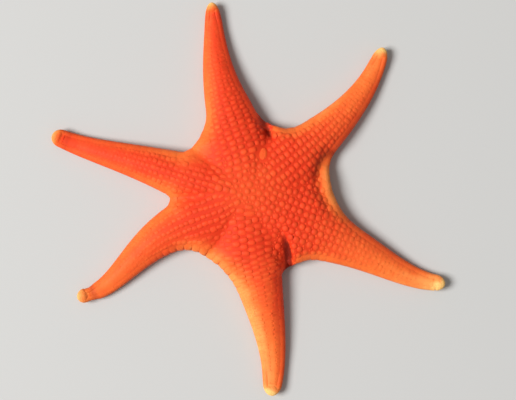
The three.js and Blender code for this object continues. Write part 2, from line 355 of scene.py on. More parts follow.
def finish_piece(piece, material, replaces=()):
    """A finished piece: its material, its body and the CAD nodes it stands for, which are hidden."""
    piece.data.materials.clear()
    piece.data.materials.append(material)
    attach(piece, BODY)
    if replaces:
        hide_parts(*replaces)


# ---- The skin as a surface to build on ----


def solid_tree():
    """The solids' own surface, for reaching out to it."""
    piece = merged_copy([*FLESH, *TIPS], "solids")
    tree = BVHTree.FromObject(piece, bpy.context.evaluated_depsgraph_get())
    bpy.data.objects.remove(piece)
    return tree


class Skin:
    """The finished skin, for finding places on it. Plan points are in mm, places in metres."""

    STEP = 0.3
    # A line over the skin ends after so many mm, or where the normal's part upwards is less than this.
    LONGEST = 40
    STEEPEST = 0.12

    def __init__(self):
        self.piece = bpy.data.objects["skin"]
        self.tree = BVHTree.FromObject(self.piece, bpy.context.evaluated_depsgraph_get())
        self.normals = vertex_normals(self.piece)

    def over(self, point, face=1):
        """The place and normal met by going down, or up if face is -1, to a plan point.

        None beside the animal.
        """
        start = Vector((point[0] * MM, point[1] * MM, face * 0.1))
        place, normal, index, _ = self.tree.ray_cast(start, Vector((0, 0, -face)))
        if place is None:
            return None
        return place, self.smooth_normal(index)

    def smooth_normal(self, index):
        vertices = list(self.piece.data.polygons[index].vertices)
        return Vector(self.normals[vertices].mean(0)).normalized()

    def nearest(self, place):
        found, _, index, _ = self.tree.find_nearest(place)
        return found, self.smooth_normal(index)

    def wall(self, start, way):
        """Where a line that starts inside the animal comes out."""
        place, _, _, _ = self.tree.ray_cast(start, way)
        return place

    def cross_line(self, arm, s, side, clear, face=1, start=0.0):
        """The line over the skin to one side of the arm's axis, as long as clear(points) allows.

        It starts so many mm from the axis. Gives the length walked over the skin in mm, the places
        and the normals, or None.
        """
        asides = np.arange(start, self.LONGEST, self.STEP)
        stations = s + (arm.lean * side * asides + arm.bow * asides**2) / arm.reach
        points, lefts = axis_at(arm, np.clip(stations, 0, 1))
        points = points + lefts * (side * asides)[:, None]
        stop = np.argmin(np.append(clear(points), False))
        met = []
        for point in points[:stop]:
            found = self.over(point, face)
            if found is None or found[1].z * face < self.STEEPEST:
                break
            met.append(found)
        if len(met) < 3:
            return None
        places = np.array([place for place, _ in met])
        normals = np.array([normal for _, normal in met])
        strides = np.linalg.norm(np.diff(places, axis=0), axis=1) / MM
        return np.concatenate([[0], np.cumsum(strides)]), places, normals

    def edge(self, point, way):
        """The plan point, in mm, where the animal ends, going from a point inside it."""
        low = 0.0
        while self.over(point + way * (low + self.STEP)) is not None:
            low += self.STEP
        high = low + self.STEP
        for _ in range(8):
            middle = (low + high) / 2
            low, high = (middle, high) if self.over(point + way * middle) is not None else (low, middle)
        return point + way * low


def along_line(wanted, lengths, points):
    """The point at a wanted length of a line, or the points at an array of them."""
    return np.stack([np.interp(wanted, lengths, column) for column in points.T], -1)


def evenly_along(points, step):
    """The same line with points a step apart."""
    lengths = np.concatenate([[0], np.cumsum(np.linalg.norm(np.diff(points, axis=0), axis=1))])
    return along_line(np.arange(0, lengths[-1], step), lengths, points)


def smoothed(points, rounds):
    """Each point but the first and the last drawn towards its neighbours."""
    points = points.copy()
    for _ in range(rounds):
        points[1:-1] = (points[:-2] + 2 * points[1:-1] + points[2:]) / 4
    return points


def smooth_line(points):
    """A line through a few points with its corners rounded."""
    return smoothed(evenly_along(np.array(points, float), 0.4), 30)


def in_furrow(points, furrow, narrow=1.0):
    """How much of a furrow's depth plan points have, 0 to 1. narrow scales its width."""
    line = smooth_line(furrow.points)
    ways = np.gradient(line, axis=0)
    out = points[:, None] - line[None]
    near = np.linalg.norm(out, axis=2).argmin(1)
    out = out[np.arange(len(near)), near]
    left = ways[near, 0] * out[:, 1] - ways[near, 1] * out[:, 0] > 0
    width = np.where(left, furrow.left, furrow.right) * narrow
    along = np.linspace(0, 1, len(line))[near]
    fall = np.exp(-((np.linalg.norm(out, axis=1) / width) ** 2))
    return fall * ease(along, -0.1, 0.45) * ease(along, 1.05, 0.65)


class Edge:
    """The side of the animal from one arm's tip round an axil to the next arm's tip.

    A place on it is given by the length along it, in mm, and by a turn: 90 degrees is on the back,
    0 straight out and -90 on the underside.
    """

    STEP = 0.5
    TURN = 7
    TURNS = np.arange(98, -85, -TURN)
    # The width of the edge's plates at the arms' tips, and how far from there they have their own, mm.
    TIP_WIDTH = 1.3
    FULL_FROM = 45
    # The fans of a cross-section's places start at this part of the height from bottom to top.
    HINGE = 0.42
    # The least room between skin and solids, and the most on the upper side and lower down, mm.
    ROOM = (0.3, 0.6, 1.3)

    def __init__(self, skin, index):
        axil = AXILS[index]
        inmost = skin.edge(DISC_CENTRE, direction(axil.bearing))
        sides = []
        for arm, side in ((ARMS[index], 1), (ARMS[(index + 1) % len(ARMS)], -1)):
            stations = np.arange(station_beside(arm, corner(axil)) + 0.012, tip_start(arm) + 0.028, 0.006)
            points, lefts = axis_at(arm, stations)
            sides.append([skin.edge(point, left * side) for point, left in zip(points, lefts)])
        line = evenly_along(np.array(sides[0][::-1] + [inmost] + sides[1]), self.STEP)
        self.line = smoothed(line, 6)
        self.length = self.STEP * (len(line) - 1)
        self.lengths = np.arange(len(line)) * self.STEP
        self.from_tip = np.minimum(self.lengths, self.length - self.lengths)
        middle = np.argmin(np.linalg.norm(self.line - inmost, axis=1)) * self.STEP
        # The edge's paleness along its length, partly its own colour and partly painted light.
        offsets, values = np.array(axil.pale).T
        self.paleness_and_painted_light = np.interp(
            self.lengths,
            (0, *(middle + offsets), self.length),
            (0.7 * values[0], *values, 0.7 * values[-1]),
        )
        self.spread = np.interp(self.lengths, (middle - 16, middle, middle + 16), axil.spread)
        self.spread *= 0.5 + 0.5 * ease(self.from_tip, 0, 35)
        corners = middle + np.array((-12, -4, 4, 12))
        base = np.interp(self.lengths, corners, np.repeat(axil.width, (1, 2, 1)))
        self.width = self.TIP_WIDTH + (base - self.TIP_WIDTH) * ease(self.from_tip, 0, self.FULL_FROM)
        self.beaded = axil.beaded * ease(np.abs(self.lengths - middle), 26, 14)
        self.places = self._fans(skin)
        self.normals = self._normals()
        self.room = self._room()

    def _fans(self, skin):
        """The places of the skin, row by row along the line and turn by turn from the back down."""
        ways = np.gradient(self.line, axis=0)
        ways /= np.linalg.norm(ways, axis=1, keepdims=True)
        outs = np.stack([ways[:, 1], -ways[:, 0]], 1)
        rows = []
        for point, out, width in zip(self.line, outs, self.width):
            inside = point - out * width
            top, bottom = skin.over(inside), skin.over(inside, -1)
            height = bottom[0].z + self.HINGE * (top[0].z - bottom[0].z)
            start = Vector((inside[0] * MM, inside[1] * MM, height))
            row = []
            for turn in np.radians(self.TURNS):
                way = Vector((out[0] * math.cos(turn), out[1] * math.cos(turn), math.sin(turn)))
                row.append(skin.wall(start, way))
            rows.append(row)
        return smoothed(np.array(rows, float), 3)

    def _normals(self):
        normals = np.cross(np.gradient(self.places, axis=0), np.gradient(self.places, axis=1))
        normals /= np.linalg.norm(normals, axis=2, keepdims=True)
        outs = np.gradient(self.line, axis=0)[:, ::-1] * (1, -1)
        outwards = (normals[:, len(self.TURNS) // 2, :2] * outs).sum()
        return normals if outwards > 0 else -normals

    def _room(self):
        """How far the solids' surface lies outside the skin, in metres."""
        tree = solid_tree()
        room = np.full(self.places.shape[:2], np.nan)
        for row in range(room.shape[0]):
            for column in range(room.shape[1]):
                place, normal = Vector(self.places[row, column]), Vector(self.normals[row, column])
                found, _, _, apart = tree.ray_cast(place, normal, 2 * MM)
                room[row, column] = apart if found is not None else 0.5 * MM
        least, above, lower = self.ROOM
        room = np.clip(room, least * MM, np.where(self.TURNS > 40, above, lower) * MM)
        for _ in range(6):
            room = smoothed(smoothed(room, 1).T, 1).T
        return room[..., None]

    def at(self, lengths, turns):
        """Places, normals and room outside, for arrays of lengths and turns."""
        rows = np.clip(np.asarray(lengths) / self.STEP, 0, len(self.line) - 1.001)
        columns = np.clip((self.TURNS[0] - np.asarray(turns)) / self.TURN, 0, len(self.TURNS) - 1.001)
        i, j = rows.astype(int), columns.astype(int)
        u, v = (rows - i)[:, None], (columns - j)[:, None]

        def blend(grid):
            inner = grid[i, j] * (1 - v) + grid[i, j + 1] * v
            outer = grid[i + 1, j] * (1 - v) + grid[i + 1, j + 1] * v
            return inner * (1 - u) + outer * u

        return blend(self.places), blend(self.normals), blend(self.room)


class Markings:
    """How orange each place of the animal is: 0 is vermilion and 1 the pale orange of the tips."""

    # The marking of the underside.
    BELOW = 0.6

    def __init__(self, edges):
        stations = np.linspace(0, 1, 300)
        self.axes = self.plan_tree(axis_at(arm, stations)[0] for arm in ARMS)
        self.arm_numbers = np.repeat(np.arange(len(ARMS)), len(stations))
        self.stations = np.tile(stations, len(ARMS))
        self.edge = self.plan_tree(edge.line for edge in edges)
        for name in ("paleness_and_painted_light", "spread", "width"):
            setattr(self, name, np.concatenate([getattr(edge, name) for edge in edges]))

    def plan_tree(self, lines):
        """The plan points of some lines, for finding the nearest."""
        return tree_of([(x, y, 0) for line in lines for x, y in line])

    def own(self, name, arms):
        """What the plan says of each of the numbered arms."""
        return np.array([getattr(arm, name) for arm in ARMS])[arms]

    def beside_edge(self, points):
        """The nearest spot of the edge for each plan point, and how far off it is."""
        found = [self.edge.find((x, y, 0)) for x, y in points]
        return np.array([number for _, number, _ in found]), np.array([apart for _, _, apart in found])

    def inside_edge(self, points):
        """How far inside the edge's own plates each plan point lies, in mm."""
        number, apart = self.beside_edge(points)
        return apart - self.width[number]

    def nearest_arm(self, points):
        """For plan points: the arm they are nearest to, and the part of its reach they lie at."""
        near = [self.axes.find((x, y, 0))[1] for x, y in points]
        return self.arm_numbers[near], self.stations[near]

    def at(self, places):
        """The marking of places in metres."""
        places = np.asarray(places, float)
        points = places[:, :2] / MM
        arm, part = self.nearest_arm(points)
        outwards = self.own("warmth", arm) * ease(part, 0.2, 0.92)
        outwards += 0.14 * ease(np.linalg.norm(points - BACK_CENTRE, axis=1), 20, 4)
        pale, length = self.own("tip", arm).T
        tip = pale * ease((1 - part) * self.own("reach", arm), length, -0.1 * length)
        number, apart = self.beside_edge(points)
        # Paleness beside the edge: partly the edge's own paler orange, partly painted light and shade by
        # which way the edge faces the key light.
        beside = self.paleness_and_painted_light[number] * ease(apart, self.spread[number], 0)
        above = np.where(beside > 0, np.maximum(outwards, beside), np.maximum(outwards + beside, 0))
        below = ease(places[:, 2] / MM, 2.2, 1.0)
        return np.clip(above + tip + (self.BELOW - above) * below, 0, 1)

    def relief(self, places):
        """How strongly the plates stand out at each place: 1 where they do so most on a plain arm."""
        points = np.asarray(places, float)[:, :2] / MM
        arm, part = self.nearest_arm(points)
        found = np.interp(part, RELIEF_STATIONS, RELIEF)
        found *= 1 + (self.own("relief", arm) - 1) * ease(part, 0.25, 0.5)
        for axil in AXILS:
            near = ease(np.linalg.norm(points - corner(axil), axis=1), 15, 5)
            found = np.minimum(found, 1 - 0.85 * axil.smooth * near)
        return found

    def deep(self, places, marking=0.0):
        """How much painted shade, in the furrows' dark colour, each place of the back has, 0 to 1.

        The painted shade lies in the furrows and in the ring behind an arm's end. Furrows leave a pale
        marking as it is.
        """
        places = np.asarray(places, float)
        points = places[:, :2] / MM
        arm, part = self.nearest_arm(points)
        from_end = (1 - part) * self.own("reach", arm)
        # Painted shade in a ring behind the arm's end.
        found = self.own("band", arm) * np.exp(-(((from_end - 6.4) / 1.6) ** 2))
        # Painted shade in the furrows: the deeper the furrow, the darker.
        for furrow in FURROWS:
            inside = ease(in_furrow(points, furrow, 0.8), 0.05, 0.85) * ease(marking, 0.45, 0.15)
            found = np.maximum(found, min(furrow.depth / FULL_SHADE_DEPTH, 1) * inside)
        return found * ease(places[:, 2] / MM, 1.2, 2.2)


class SkinMap:
    """An unwrap of the skin's shape, parted along its edge, for the maps of the pieces that grow on it."""

    def __init__(self):
        piece = bpy.data.objects["skin"].copy()
        piece.data = piece.data.copy()
        bpy.context.scene.collection.objects.link(piece)
        apply_modifier(piece, "DECIMATE", ratio=0.12)
        mesh = piece.data
        faces_up = [face.normal.z > 0 for face in mesh.polygons]
        beside = {}
        for face in mesh.polygons:
            for key in face.edge_keys:
                beside.setdefault(key, []).append(faces_up[face.index])
        for edge in mesh.edges:
            edge.use_seam = len(set(beside[edge.key])) > 1
        in_edit_mode(piece, lambda: bpy.ops.uv.unwrap(method="ANGLE_BASED", margin=0.01))
        mesh.calc_loop_triangles()
        self.corners = coordinates(piece)
        self.triangles = np.array([triangle.vertices for triangle in mesh.loop_triangles])
        loops = np.array([triangle.loops for triangle in mesh.loop_triangles])
        spots = np.empty(len(mesh.loops) * 2)
        mesh.uv_layers.active.uv.foreach_get("vector", spots)
        self.spots = spots.reshape(-1, 2)[loops]
        self.tree = BVHTree.FromPolygons(self.corners.tolist(), self.triangles.tolist())
        bpy.data.objects.remove(piece)

    def at(self, place):
        """The map's spot for a place on the skin."""
        found, _, index, _ = self.tree.find_nearest(Vector(place))
        a, b, c = self.corners[self.triangles[index]]
        u, v = np.linalg.lstsq(np.stack([b - a, c - a], 1), np.array(found) - a, rcond=None)[0]
        spot_a, spot_b, spot_c = self.spots[index]
        return spot_a + u * (spot_b - spot_a) + v * (spot_c - spot_a)


_ground = {}


def ground():
    """The skin, its edges, its markings and its map, worked out once."""
    if not _ground:
        skin = Skin()
        edges = [Edge(skin, index) for index in range(len(AXILS))]
        _ground.update(skin=skin, edges=edges, markings=Markings(edges), map=SkinMap())
    return _ground


# ---- Copies of one shape, joined ----

PATCH = 0.003


class Form:
    """A modelled shape to be copied.

    It holds its mesh, each vertex's spot in the copy's patch of the map, and how high it lies, 0 to 1.
    """

    def __init__(self, piece):
        mesh = piece.data
        self.vertices = coordinates(piece)
        self.counts = np.array([face.loop_total for face in mesh.polygons])
        self.loops = np.array([index for face in mesh.polygons for index in face.vertices])
        top = self.vertices[:, 2].max()
        depth = top - self.vertices[:, 2]
        flat = self.vertices[:, :2]
        out = np.linalg.norm(flat, axis=1, keepdims=True)
        spread = flat * (1 + depth[:, None] / np.maximum(out, 0.3))
        self.spots = spread / (2 * np.abs(spread).max())
        self.crown = (self.vertices[:, 2] - self.vertices[:, 2].min()) / np.ptp(self.vertices[:, 2])
        bpy.data.objects.remove(piece)


def joined(name, copies):
    """One mesh object of many copies, marked as the animal is where they stand.

    Each copy is (form, places of its vertices, spot on the map, shade, how much its gaps are filled).
    """
    markings = ground()["markings"]
    totals = np.cumsum([0] + [len(form.vertices) for form, *_ in copies])
    places = np.concatenate([vertices for _, vertices, *_ in copies])
    loops = np.concatenate([form.loops + start for (form, *_), start in zip(copies, totals)])
    counts = np.concatenate([form.counts for form, *_ in copies])
    marking = markings.at(places)
    mesh = bpy.data.meshes.new(name)
    mesh.vertices.add(len(places))
    mesh.vertices.foreach_set("co", places.ravel())
    mesh.loops.add(len(loops))
    mesh.loops.foreach_set("vertex_index", loops)
    mesh.polygons.add(len(counts))
    mesh.polygons.foreach_set("loop_start", np.cumsum(counts) - counts)
    mesh.update(calc_edges=True)
    mesh.validate()
    spots = np.concatenate([spot + form.spots * PATCH for form, _, spot, *_ in copies])
    mesh.uv_layers.new(name="OFBake").uv.foreach_set("vector", spots[loops].ravel())
    # The low parts of each copy take the gaps' colour, partly painted shade, unless its gaps are filled.
    crowns = [form.crown + (1 - form.crown) * filled for form, _, _, _, filled in copies]
    shades = np.repeat([shade for _, _, _, shade, _ in copies], np.diff(totals))
    deep = markings.deep(places, marking)
    set_values(mesh, crown=np.concatenate(crowns), shade=shades, marking=marking, deep=deep)
    shade_smooth(mesh)
    piece = bpy.data.objects.new(name, mesh)
    bpy.context.scene.collection.objects.link(piece)
    return piece


def standing(form, place, normal, along, sizes, sunk=0.0):
    """The places of a form's vertices when it stands on the skin, x along, y across and z out.

    Its sizes are scales of the form's own, and none of its places are under the floor.
    """
    z = np.array(normal, float)
    x = np.array(along, float)
    x -= z * x.dot(z)
    x /= np.linalg.norm(x)
    y = np.cross(z, x)
    places = np.array(place) + form.vertices * sizes @ np.array([x, y, z]) - z * sunk
    return np.maximum(places, (-1, -1, 0))


# ---- Forms ----


def draw_out(piece, steps):
    """Extrudes a piece's top face, in steps of a scale and a rise. It is called in edit mode."""
    bpy.ops.mesh.select_all(action="DESELECT")
    bpy.ops.object.mode_set(mode="OBJECT")
    top = max(piece.data.polygons, key=lambda face: face.center.z)
    top.select = True
    bpy.ops.object.mode_set(mode="EDIT")
    for scale, rise in steps:
        bpy.ops.mesh.extrude_region_move(TRANSFORM_OT_translate={"value": (0, 0, rise)})
        bpy.ops.transform.resize(value=(scale, scale, 1))


def model_spine_form():
    """A short blunt spine along z, from 0 to 1, with radius 1 at its root."""
    piece = stock_cylinder(6, 1.0, 0.5)
    in_edit_mode(piece, lambda: draw_out(piece, ((0.8, 0.38), (0.5, 0.12))))
    return Form(piece)


def model_foot_form():
    """A foot along z, from its root at 0 to its sucker at 1, which has radius 1."""
    piece = stock_cylinder(8, 0.62, 0.3)
    steps = ((0.8, 0.3), (0.95, 0.24), (2.05, 0.08), (1.03, 0.08), (0.6, 0.0), (0.5, -0.05))
    in_edit_mode(piece, lambda: draw_out(piece, steps))
    places = coordinates(piece)
    form = Form(piece)
    out = np.linalg.norm(places[:, :2], axis=1)
    walked = np.where(places[:, 2] > 0.94, out, 1 + 1.2 * (1 - places[:, 2]))
    form.spots = places[:, :2] / out[:, None] * walked[:, None] / (2 * walked.max())
    return form


def model_jaw_form():
    """A jaw with a seam: x from root to point and y across its root from -1 to 1, z from 0 to 1."""
    piece = stock_shape(bpy.ops.mesh.primitive_cube_add, size=2)
    in_edit_mode(piece, lambda: bpy.ops.mesh.subdivide(number_cuts=5))
    x, y, z = coordinates(piece).T
    narrow = 1 - 0.72 * ((x + 1) / 2) ** 1.2
    crest = 1 - 0.25 * np.abs(y) ** 3 - 0.22 * np.exp(-((y / 0.16) ** 2)) - 0.15 * np.clip(x, 0, 1) ** 3
    set_coordinates(piece, np.stack([x, y * narrow, (z + 1) / 2 * crest], 1))
    apply_modifier(piece, "SUBSURF", levels=1, render_levels=1)
    return Form(piece)


def model_plate_form(square):
    """A low plate with a domed crown and a rim lobed by its border of granules. Half sizes 1, height 1."""
    piece = stock_cylinder(12, 1.0, 0.26)
    in_edit_mode(
        piece,
        lambda: draw_out(piece, ((0.84, 0.24), (0.72, 0.26), (0.55, 0.2))),
        lambda: bpy.ops.mesh.poke(offset=0.04),
    )
    places = coordinates(piece)
    angles = np.arctan2(places[:, 1], places[:, 0])
    out = np.linalg.norm(places[:, :2], axis=1)
    lobes = 0.03 * np.cos(6 * angles) * ease(out, 0.7, 0.95)
    places[:, :2] *= (1 + lobes)[:, None]
    if square:
        power = 3.2
        widening = (np.abs(np.cos(angles)) ** power + np.abs(np.sin(angles)) ** power) ** (-1 / power)
        places[:, :2] *= widening[:, None]
    set_coordinates(piece, places)
    return Form(piece)


def model_block_form():
    """A pillow-shaped block that fills a rectangle: x and y from -1 to 1, z from 0 to 1.

    Its sunk says how far each place of its top lies under the pillow's crown.
    """
    piece = stock_shape(bpy.ops.mesh.primitive_grid_add, x_subdivisions=4, y_subdivisions=5, size=2)
    in_edit_mode(
        piece,
        lambda: bpy.ops.mesh.extrude_region_move(TRANSFORM_OT_translate={"value": (0, 0, 1)}),
        lambda: bpy.ops.mesh.select_all(action="SELECT"),
        lambda: bpy.ops.mesh.normals_make_consistent(),
    )
    places = coordinates(piece)
    x, y, z = places.T
    pillow = (1 - np.abs(x) ** 3.5) * (1 - np.clip(-y, 0, 1) ** 3.5)
    set_coordinates(piece, np.stack([x, y, np.where(z > 0.5, 0.68 + 0.32 * pillow**0.6, 0)], 1))
    form = Form(piece)
    form.top = z > 0.5
    form.sunk = np.where(form.top, 1 - form.vertices[:, 2], 0)
    # The top darkens towards the joints between blocks: painted shade.
    form.crown = np.where(form.top, 1 - form.sunk / form.sunk.max(), 0)
    return form


# ---- Materials ----


class Nodes:
    """A material's node tree, with short calls to add and join nodes."""

    def __init__(self, name):
        self.material = bpy.data.materials.new(name)
        self.material.use_nodes = True
        self.tree = self.material.node_tree
        self.shader = self.tree.nodes["Principled BSDF"]

    def add(self, kind, **settings):
        node = self.tree.nodes.new(kind)
        for name, value in settings.items():
            setattr(node, name, value)
        return node

    def join(self, source, target):
        """Joins a socket to another one, or sets it to a constant."""
        if isinstance(source, bpy.types.NodeSocket):
            self.tree.links.new(source, target)
        else:
            target.default_value = source

    def calculate(self, operation, *sources, **settings):
        """A math node's result. Each of its sources is a socket or a constant."""
        node = self.add("ShaderNodeMath", operation=operation, **settings)
        for source, target in zip(sources, node.inputs):
            self.join(source, target)
        return node.outputs[0]

    def value(self, name):
        return self.add("ShaderNodeAttribute", attribute_name=name).outputs["Fac"]

    def noise(self, scale, detail=2.0, voronoi=False):
        """A pattern on the object's own coordinates, scale in parts per metre."""
        place = self.add("ShaderNodeTexCoord").outputs["Object"]
        node = self.add("ShaderNodeTexVoronoi" if voronoi else "ShaderNodeTexNoise")
        node.inputs["Scale"].default_value = scale
        node.inputs["Detail"].default_value = detail
        self.join(place, node.inputs["Vector"])
        return node.outputs["Distance" if voronoi else "Fac"]

    def ramp(self, source, stops):
        node = self.add("ShaderNodeValToRGB")
        elements = node.color_ramp.elements
        while len(elements) < len(stops):
            elements.new(0.5)
        for element, (position, colour) in zip(elements, stops):
            element.position = position
            element.color = (*colour, 1)
        self.join(source, node.inputs["Fac"])
        return node.outputs["Color"]

    def mix(self, first, second, factor):
        """Two colours mixed. The second one, and the factor, may be constants."""
        node = self.add("ShaderNodeMix", data_type="RGBA")
        if not isinstance(second, bpy.types.NodeSocket):
            second = (*second, 1)
        for number, source in ((0, factor), (6, first), (7, second)):
            self.join(source, node.inputs[number])
        return node.outputs[2]

    def span(self, source, low, high, to_low=0.0, to_high=1.0):
        """A value from low to high, moved to between two others."""
        node = self.add("ShaderNodeMapRange")
        names = ("Value", "From Min", "From Max", "To Min", "To Max")
        for name, value in zip(names, (source, low, high, to_low, to_high)):
            self.join(value, node.inputs[name])
        return node.outputs["Result"]

    def bump(self, source, depth, strength=1.0):
        node = self.add("ShaderNodeBump")
        for name, value in (("Distance", depth), ("Strength", strength), ("Height", source)):
            self.join(value, node.inputs[name])
        return node.outputs["Normal"]

    def finish(self, colour, roughness, normal, specular=0.1, wet=0.015, soft=0.06):
        settings = {
            "Base Color": colour,
            "Roughness": roughness,
            "Normal": normal,
            "Specular IOR Level": specular,
            "Coat Weight": wet,
            "Coat Roughness": 0.25,
            "Subsurface Weight": soft,
            "Subsurface Radius": (1.0, 0.25, 0.1),
            "Subsurface Scale": 0.8 * MM,
        }
        for name, value in settings.items():
            self.join(value, self.shader.inputs[name])
        return self.material


GRANULE_HEIGHT = 0.1 * MM
# The granules and gaps of the plates on the underside, see plate_material.
UNDER_PLATES = {"granule": 2500, "depth": 0.4}


def marked_colour(nodes, colours):
    """The animal's colour from vermilion to pale orange, by its markings, a little mottled."""
    mottle = nodes.span(nodes.noise(260, 3.0), 0.3, 0.7, -0.06, 0.06)
    marking = nodes.calculate("ADD", nodes.value("marking"), mottle, use_clamp=True)
    stops = ((0.0, colours.vermilion), (0.5, colours.orange), (0.8, colours.pale), (1.0, colours.tip))
    return nodes.ramp(marking, stops)


def furrowed(nodes, colours, colour):
    """A colour darkened by painted shade where it lies deep in a furrow."""
    deep = nodes.span(nodes.value("deep"), 0.1, 0.8, 0.0, 0.95)
    return nodes.mix(colour, colours.furrow, deep)


def gap_share(nodes, share):
    """A share of the gaps' colour, partly painted shade, a socket or a constant, made less where the marking
    is pale.
    """
    return nodes.calculate("MULTIPLY", nodes.span(nodes.value("marking"), 0.05, 0.8, 1.0, 0.3), share)


def skin_material(colours):
    nodes = Nodes("skin")
    # The skin between the plates darkens where they stand out most: painted shade in the gaps.
    gaps = gap_share(nodes, nodes.span(nodes.value("relief"), 0.0, 1.0, 0.0, 0.7))
    colour = furrowed(nodes, colours, nodes.mix(marked_colour(nodes, colours), colours.gap, gaps))
    pits = nodes.bump(nodes.noise(2600, 2.0), GRANULE_HEIGHT, 0.6)
    return nodes.finish(colour, 0.6, pits)


def plate_material(name, colours, granule=2700, depth=0.5):
    """Plates: darker in the gaps and at the rim, partly by painted shade, bright on the crown, each of its
    own shade, and covered with granules.

    granule is how many granules there are to a metre, depth how much of the gaps' colour, and so of
    the painted shade, shows.
    """
    nodes = Nodes(name)
    base = marked_colour(nodes, colours)
    grains = nodes.noise(granule, 0.0, voronoi=True)
    dark = nodes.mix(base, colours.gap, gap_share(nodes, depth))
    crown = nodes.span(nodes.value("crown"), 0.15, 0.95)
    colour = furrowed(nodes, colours, nodes.mix(dark, base, crown))
    shade = nodes.span(nodes.value("shade"), 0.0, 1.0, 0.84, 1.1)
    shaded = nodes.add("ShaderNodeVectorMath", operation="SCALE")
    nodes.join(colour, shaded.inputs[0])
    nodes.join(shade, shaded.inputs["Scale"])
    # Painted shade between the granules.
    colour = nodes.mix(shaded.outputs[0], colours.gap, nodes.span(grains, 0.3, 0.75, 0.0, 0.2))
    normal = nodes.bump(nodes.calculate("SUBTRACT", 1.0, grains), GRANULE_HEIGHT, 0.6)
    return nodes.finish(colour, 0.55, normal)


def foot_material(colours):
    """Feet: soft and wet, pale at the sucker, with fine rings round the stalk."""
    nodes = Nodes("tube_feet")
    stops = ((0.0, colours.orange), (0.6, colours.pale), (0.9, colours.foot))
    colour = nodes.ramp(nodes.value("crown"), stops)
    mottled = nodes.mix(colour, colours.pale, nodes.span(nodes.noise(900), 0.45, 0.75, 0.0, 0.4))
    rings = nodes.calculate("SINE", nodes.span(nodes.value("crown"), 0.0, 1.0, 0.0, 60.0))
    return nodes.finish(mottled, 0.35, nodes.bump(rings, 0.03 * MM), 0.35, 0.1, 0.15)


# ---- Settings ----


def measure(name, description, default, unit="LENGTH"):
    return bpy.props.FloatProperty(name=name, description=description, default=default, unit=unit)


def tint(name, description, default):
    return bpy.props.FloatVectorProperty(
        name=name, description=description, default=default, subtype="COLOR", min=0, max=1
    )


class SeaStarSizes(bpy.types.PropertyGroup):
    coat: measure("Coat", "How far the skin lies inside the solids", 0.5 * MM)
    cover: measure("Cover", "How far the solids are swollen so that their cuts close", 0.3 * MM)
    grain: measure("Skin grain", "Size of the skin's faces", 0.6 * MM)
    plate_height: measure("Plate height", "Height of the back's plates above the skin", 0.55 * MM)


class SeaStarColours(bpy.types.PropertyGroup):
    vermilion: tint("Vermilion", "Colour of the back", (0.88, 0.068, 0.018))
    orange: tint("Orange", "Colour of the outer arms", (0.95, 0.18, 0.034))
    pale: tint("Pale orange", "Colour of the edges", (0.96, 0.34, 0.085))
    tip: tint("Tip", "Colour of the arm tips", (0.97, 0.6, 0.19))
    foot: tint("Foot", "Colour of the feet's suckers", (0.94, 0.5, 0.2))
    # The gap colour is partly the deeper red of the skin between plates and partly painted shade in the gaps,
    # at the plates' rims and between their granules.
    gap: tint("Gap", "Colour between the plates", (0.62, 0.024, 0.006))
    # Painted shade: the dark colour laid deep in the furrows and in the ring behind each arm's end.
    furrow: tint("Furrow", "Colour deep in a furrow", (0.16, 0.012, 0.006))
    floor: tint("Floor", "Colour of the floor", (0.55, 0.545, 0.53))


class SeaStarStage(bpy.types.PropertyGroup):
    camera_height: measure("Camera height", "Height of the camera over the floor", 0.62)
    view_width: measure("View width", "Width of the floor that the camera sees", 0.2064)
    key_power: measure("Key light", "Power of the main light", 85.5, "POWER")
    key_height: measure("Key angle", "Height of the main light over the floor", math.radians(51), "ROTATION")
    key_bearing: measure("Key bearing", "Bearing of the main light", math.radians(184), "ROTATION")
    fill: measure("Fill light", "Strength of the light from all round", 0.29, "NONE")


# ---- Operators ----


class SEASTAR_OT_skin(bpy.types.Operator):
    """Make the one skin over disc and arms"""

    bl_idname = "seastar.skin"
    bl_label = "Skin"

    def execute(self, context):
        sizes = context.scene.seastar_sizes
        piece = merged_copy([*FLESH, *TIPS, "madreporite"], "skin")
        apply_modifier(piece, "DISPLACE", strength=sizes.cover, mid_level=0.0)
        apply_modifier(piece, "REMESH", mode="VOXEL", voxel_size=sizes.grain)
        apply_modifier(piece, "SMOOTH", factor=0.5, iterations=6)
        apply_modifier(piece, "DISPLACE", strength=-(sizes.cover + sizes.coat), mid_level=0.0)
        apply_modifier(piece, "SMOOTH", factor=0.5, iterations=4)
        self.crease(piece)
        shade_smooth(piece.data)
        places = coordinates(piece)
        markings = ground()["markings"]
        marking = markings.at(places)
        deep, relief = markings.deep(places, marking), markings.relief(places)
        set_values(piece.data, marking=marking, deep=deep, relief=relief)
        finish_piece(piece, skin_material(context.scene.seastar_colours), FLESH)
        return {"FINISHED"}

    def crease(self, piece):
        """Sinks the furrows into the back."""
        places = coordinates(piece)
        above = ease(vertex_normals(piece)[:, 2], 0.0, 0.4)
        for furrow in FURROWS:
            places[:, 2] -= furrow.depth * in_furrow(places[:, :2] / MM, furrow) * MM * above
        set_coordinates(piece, places)


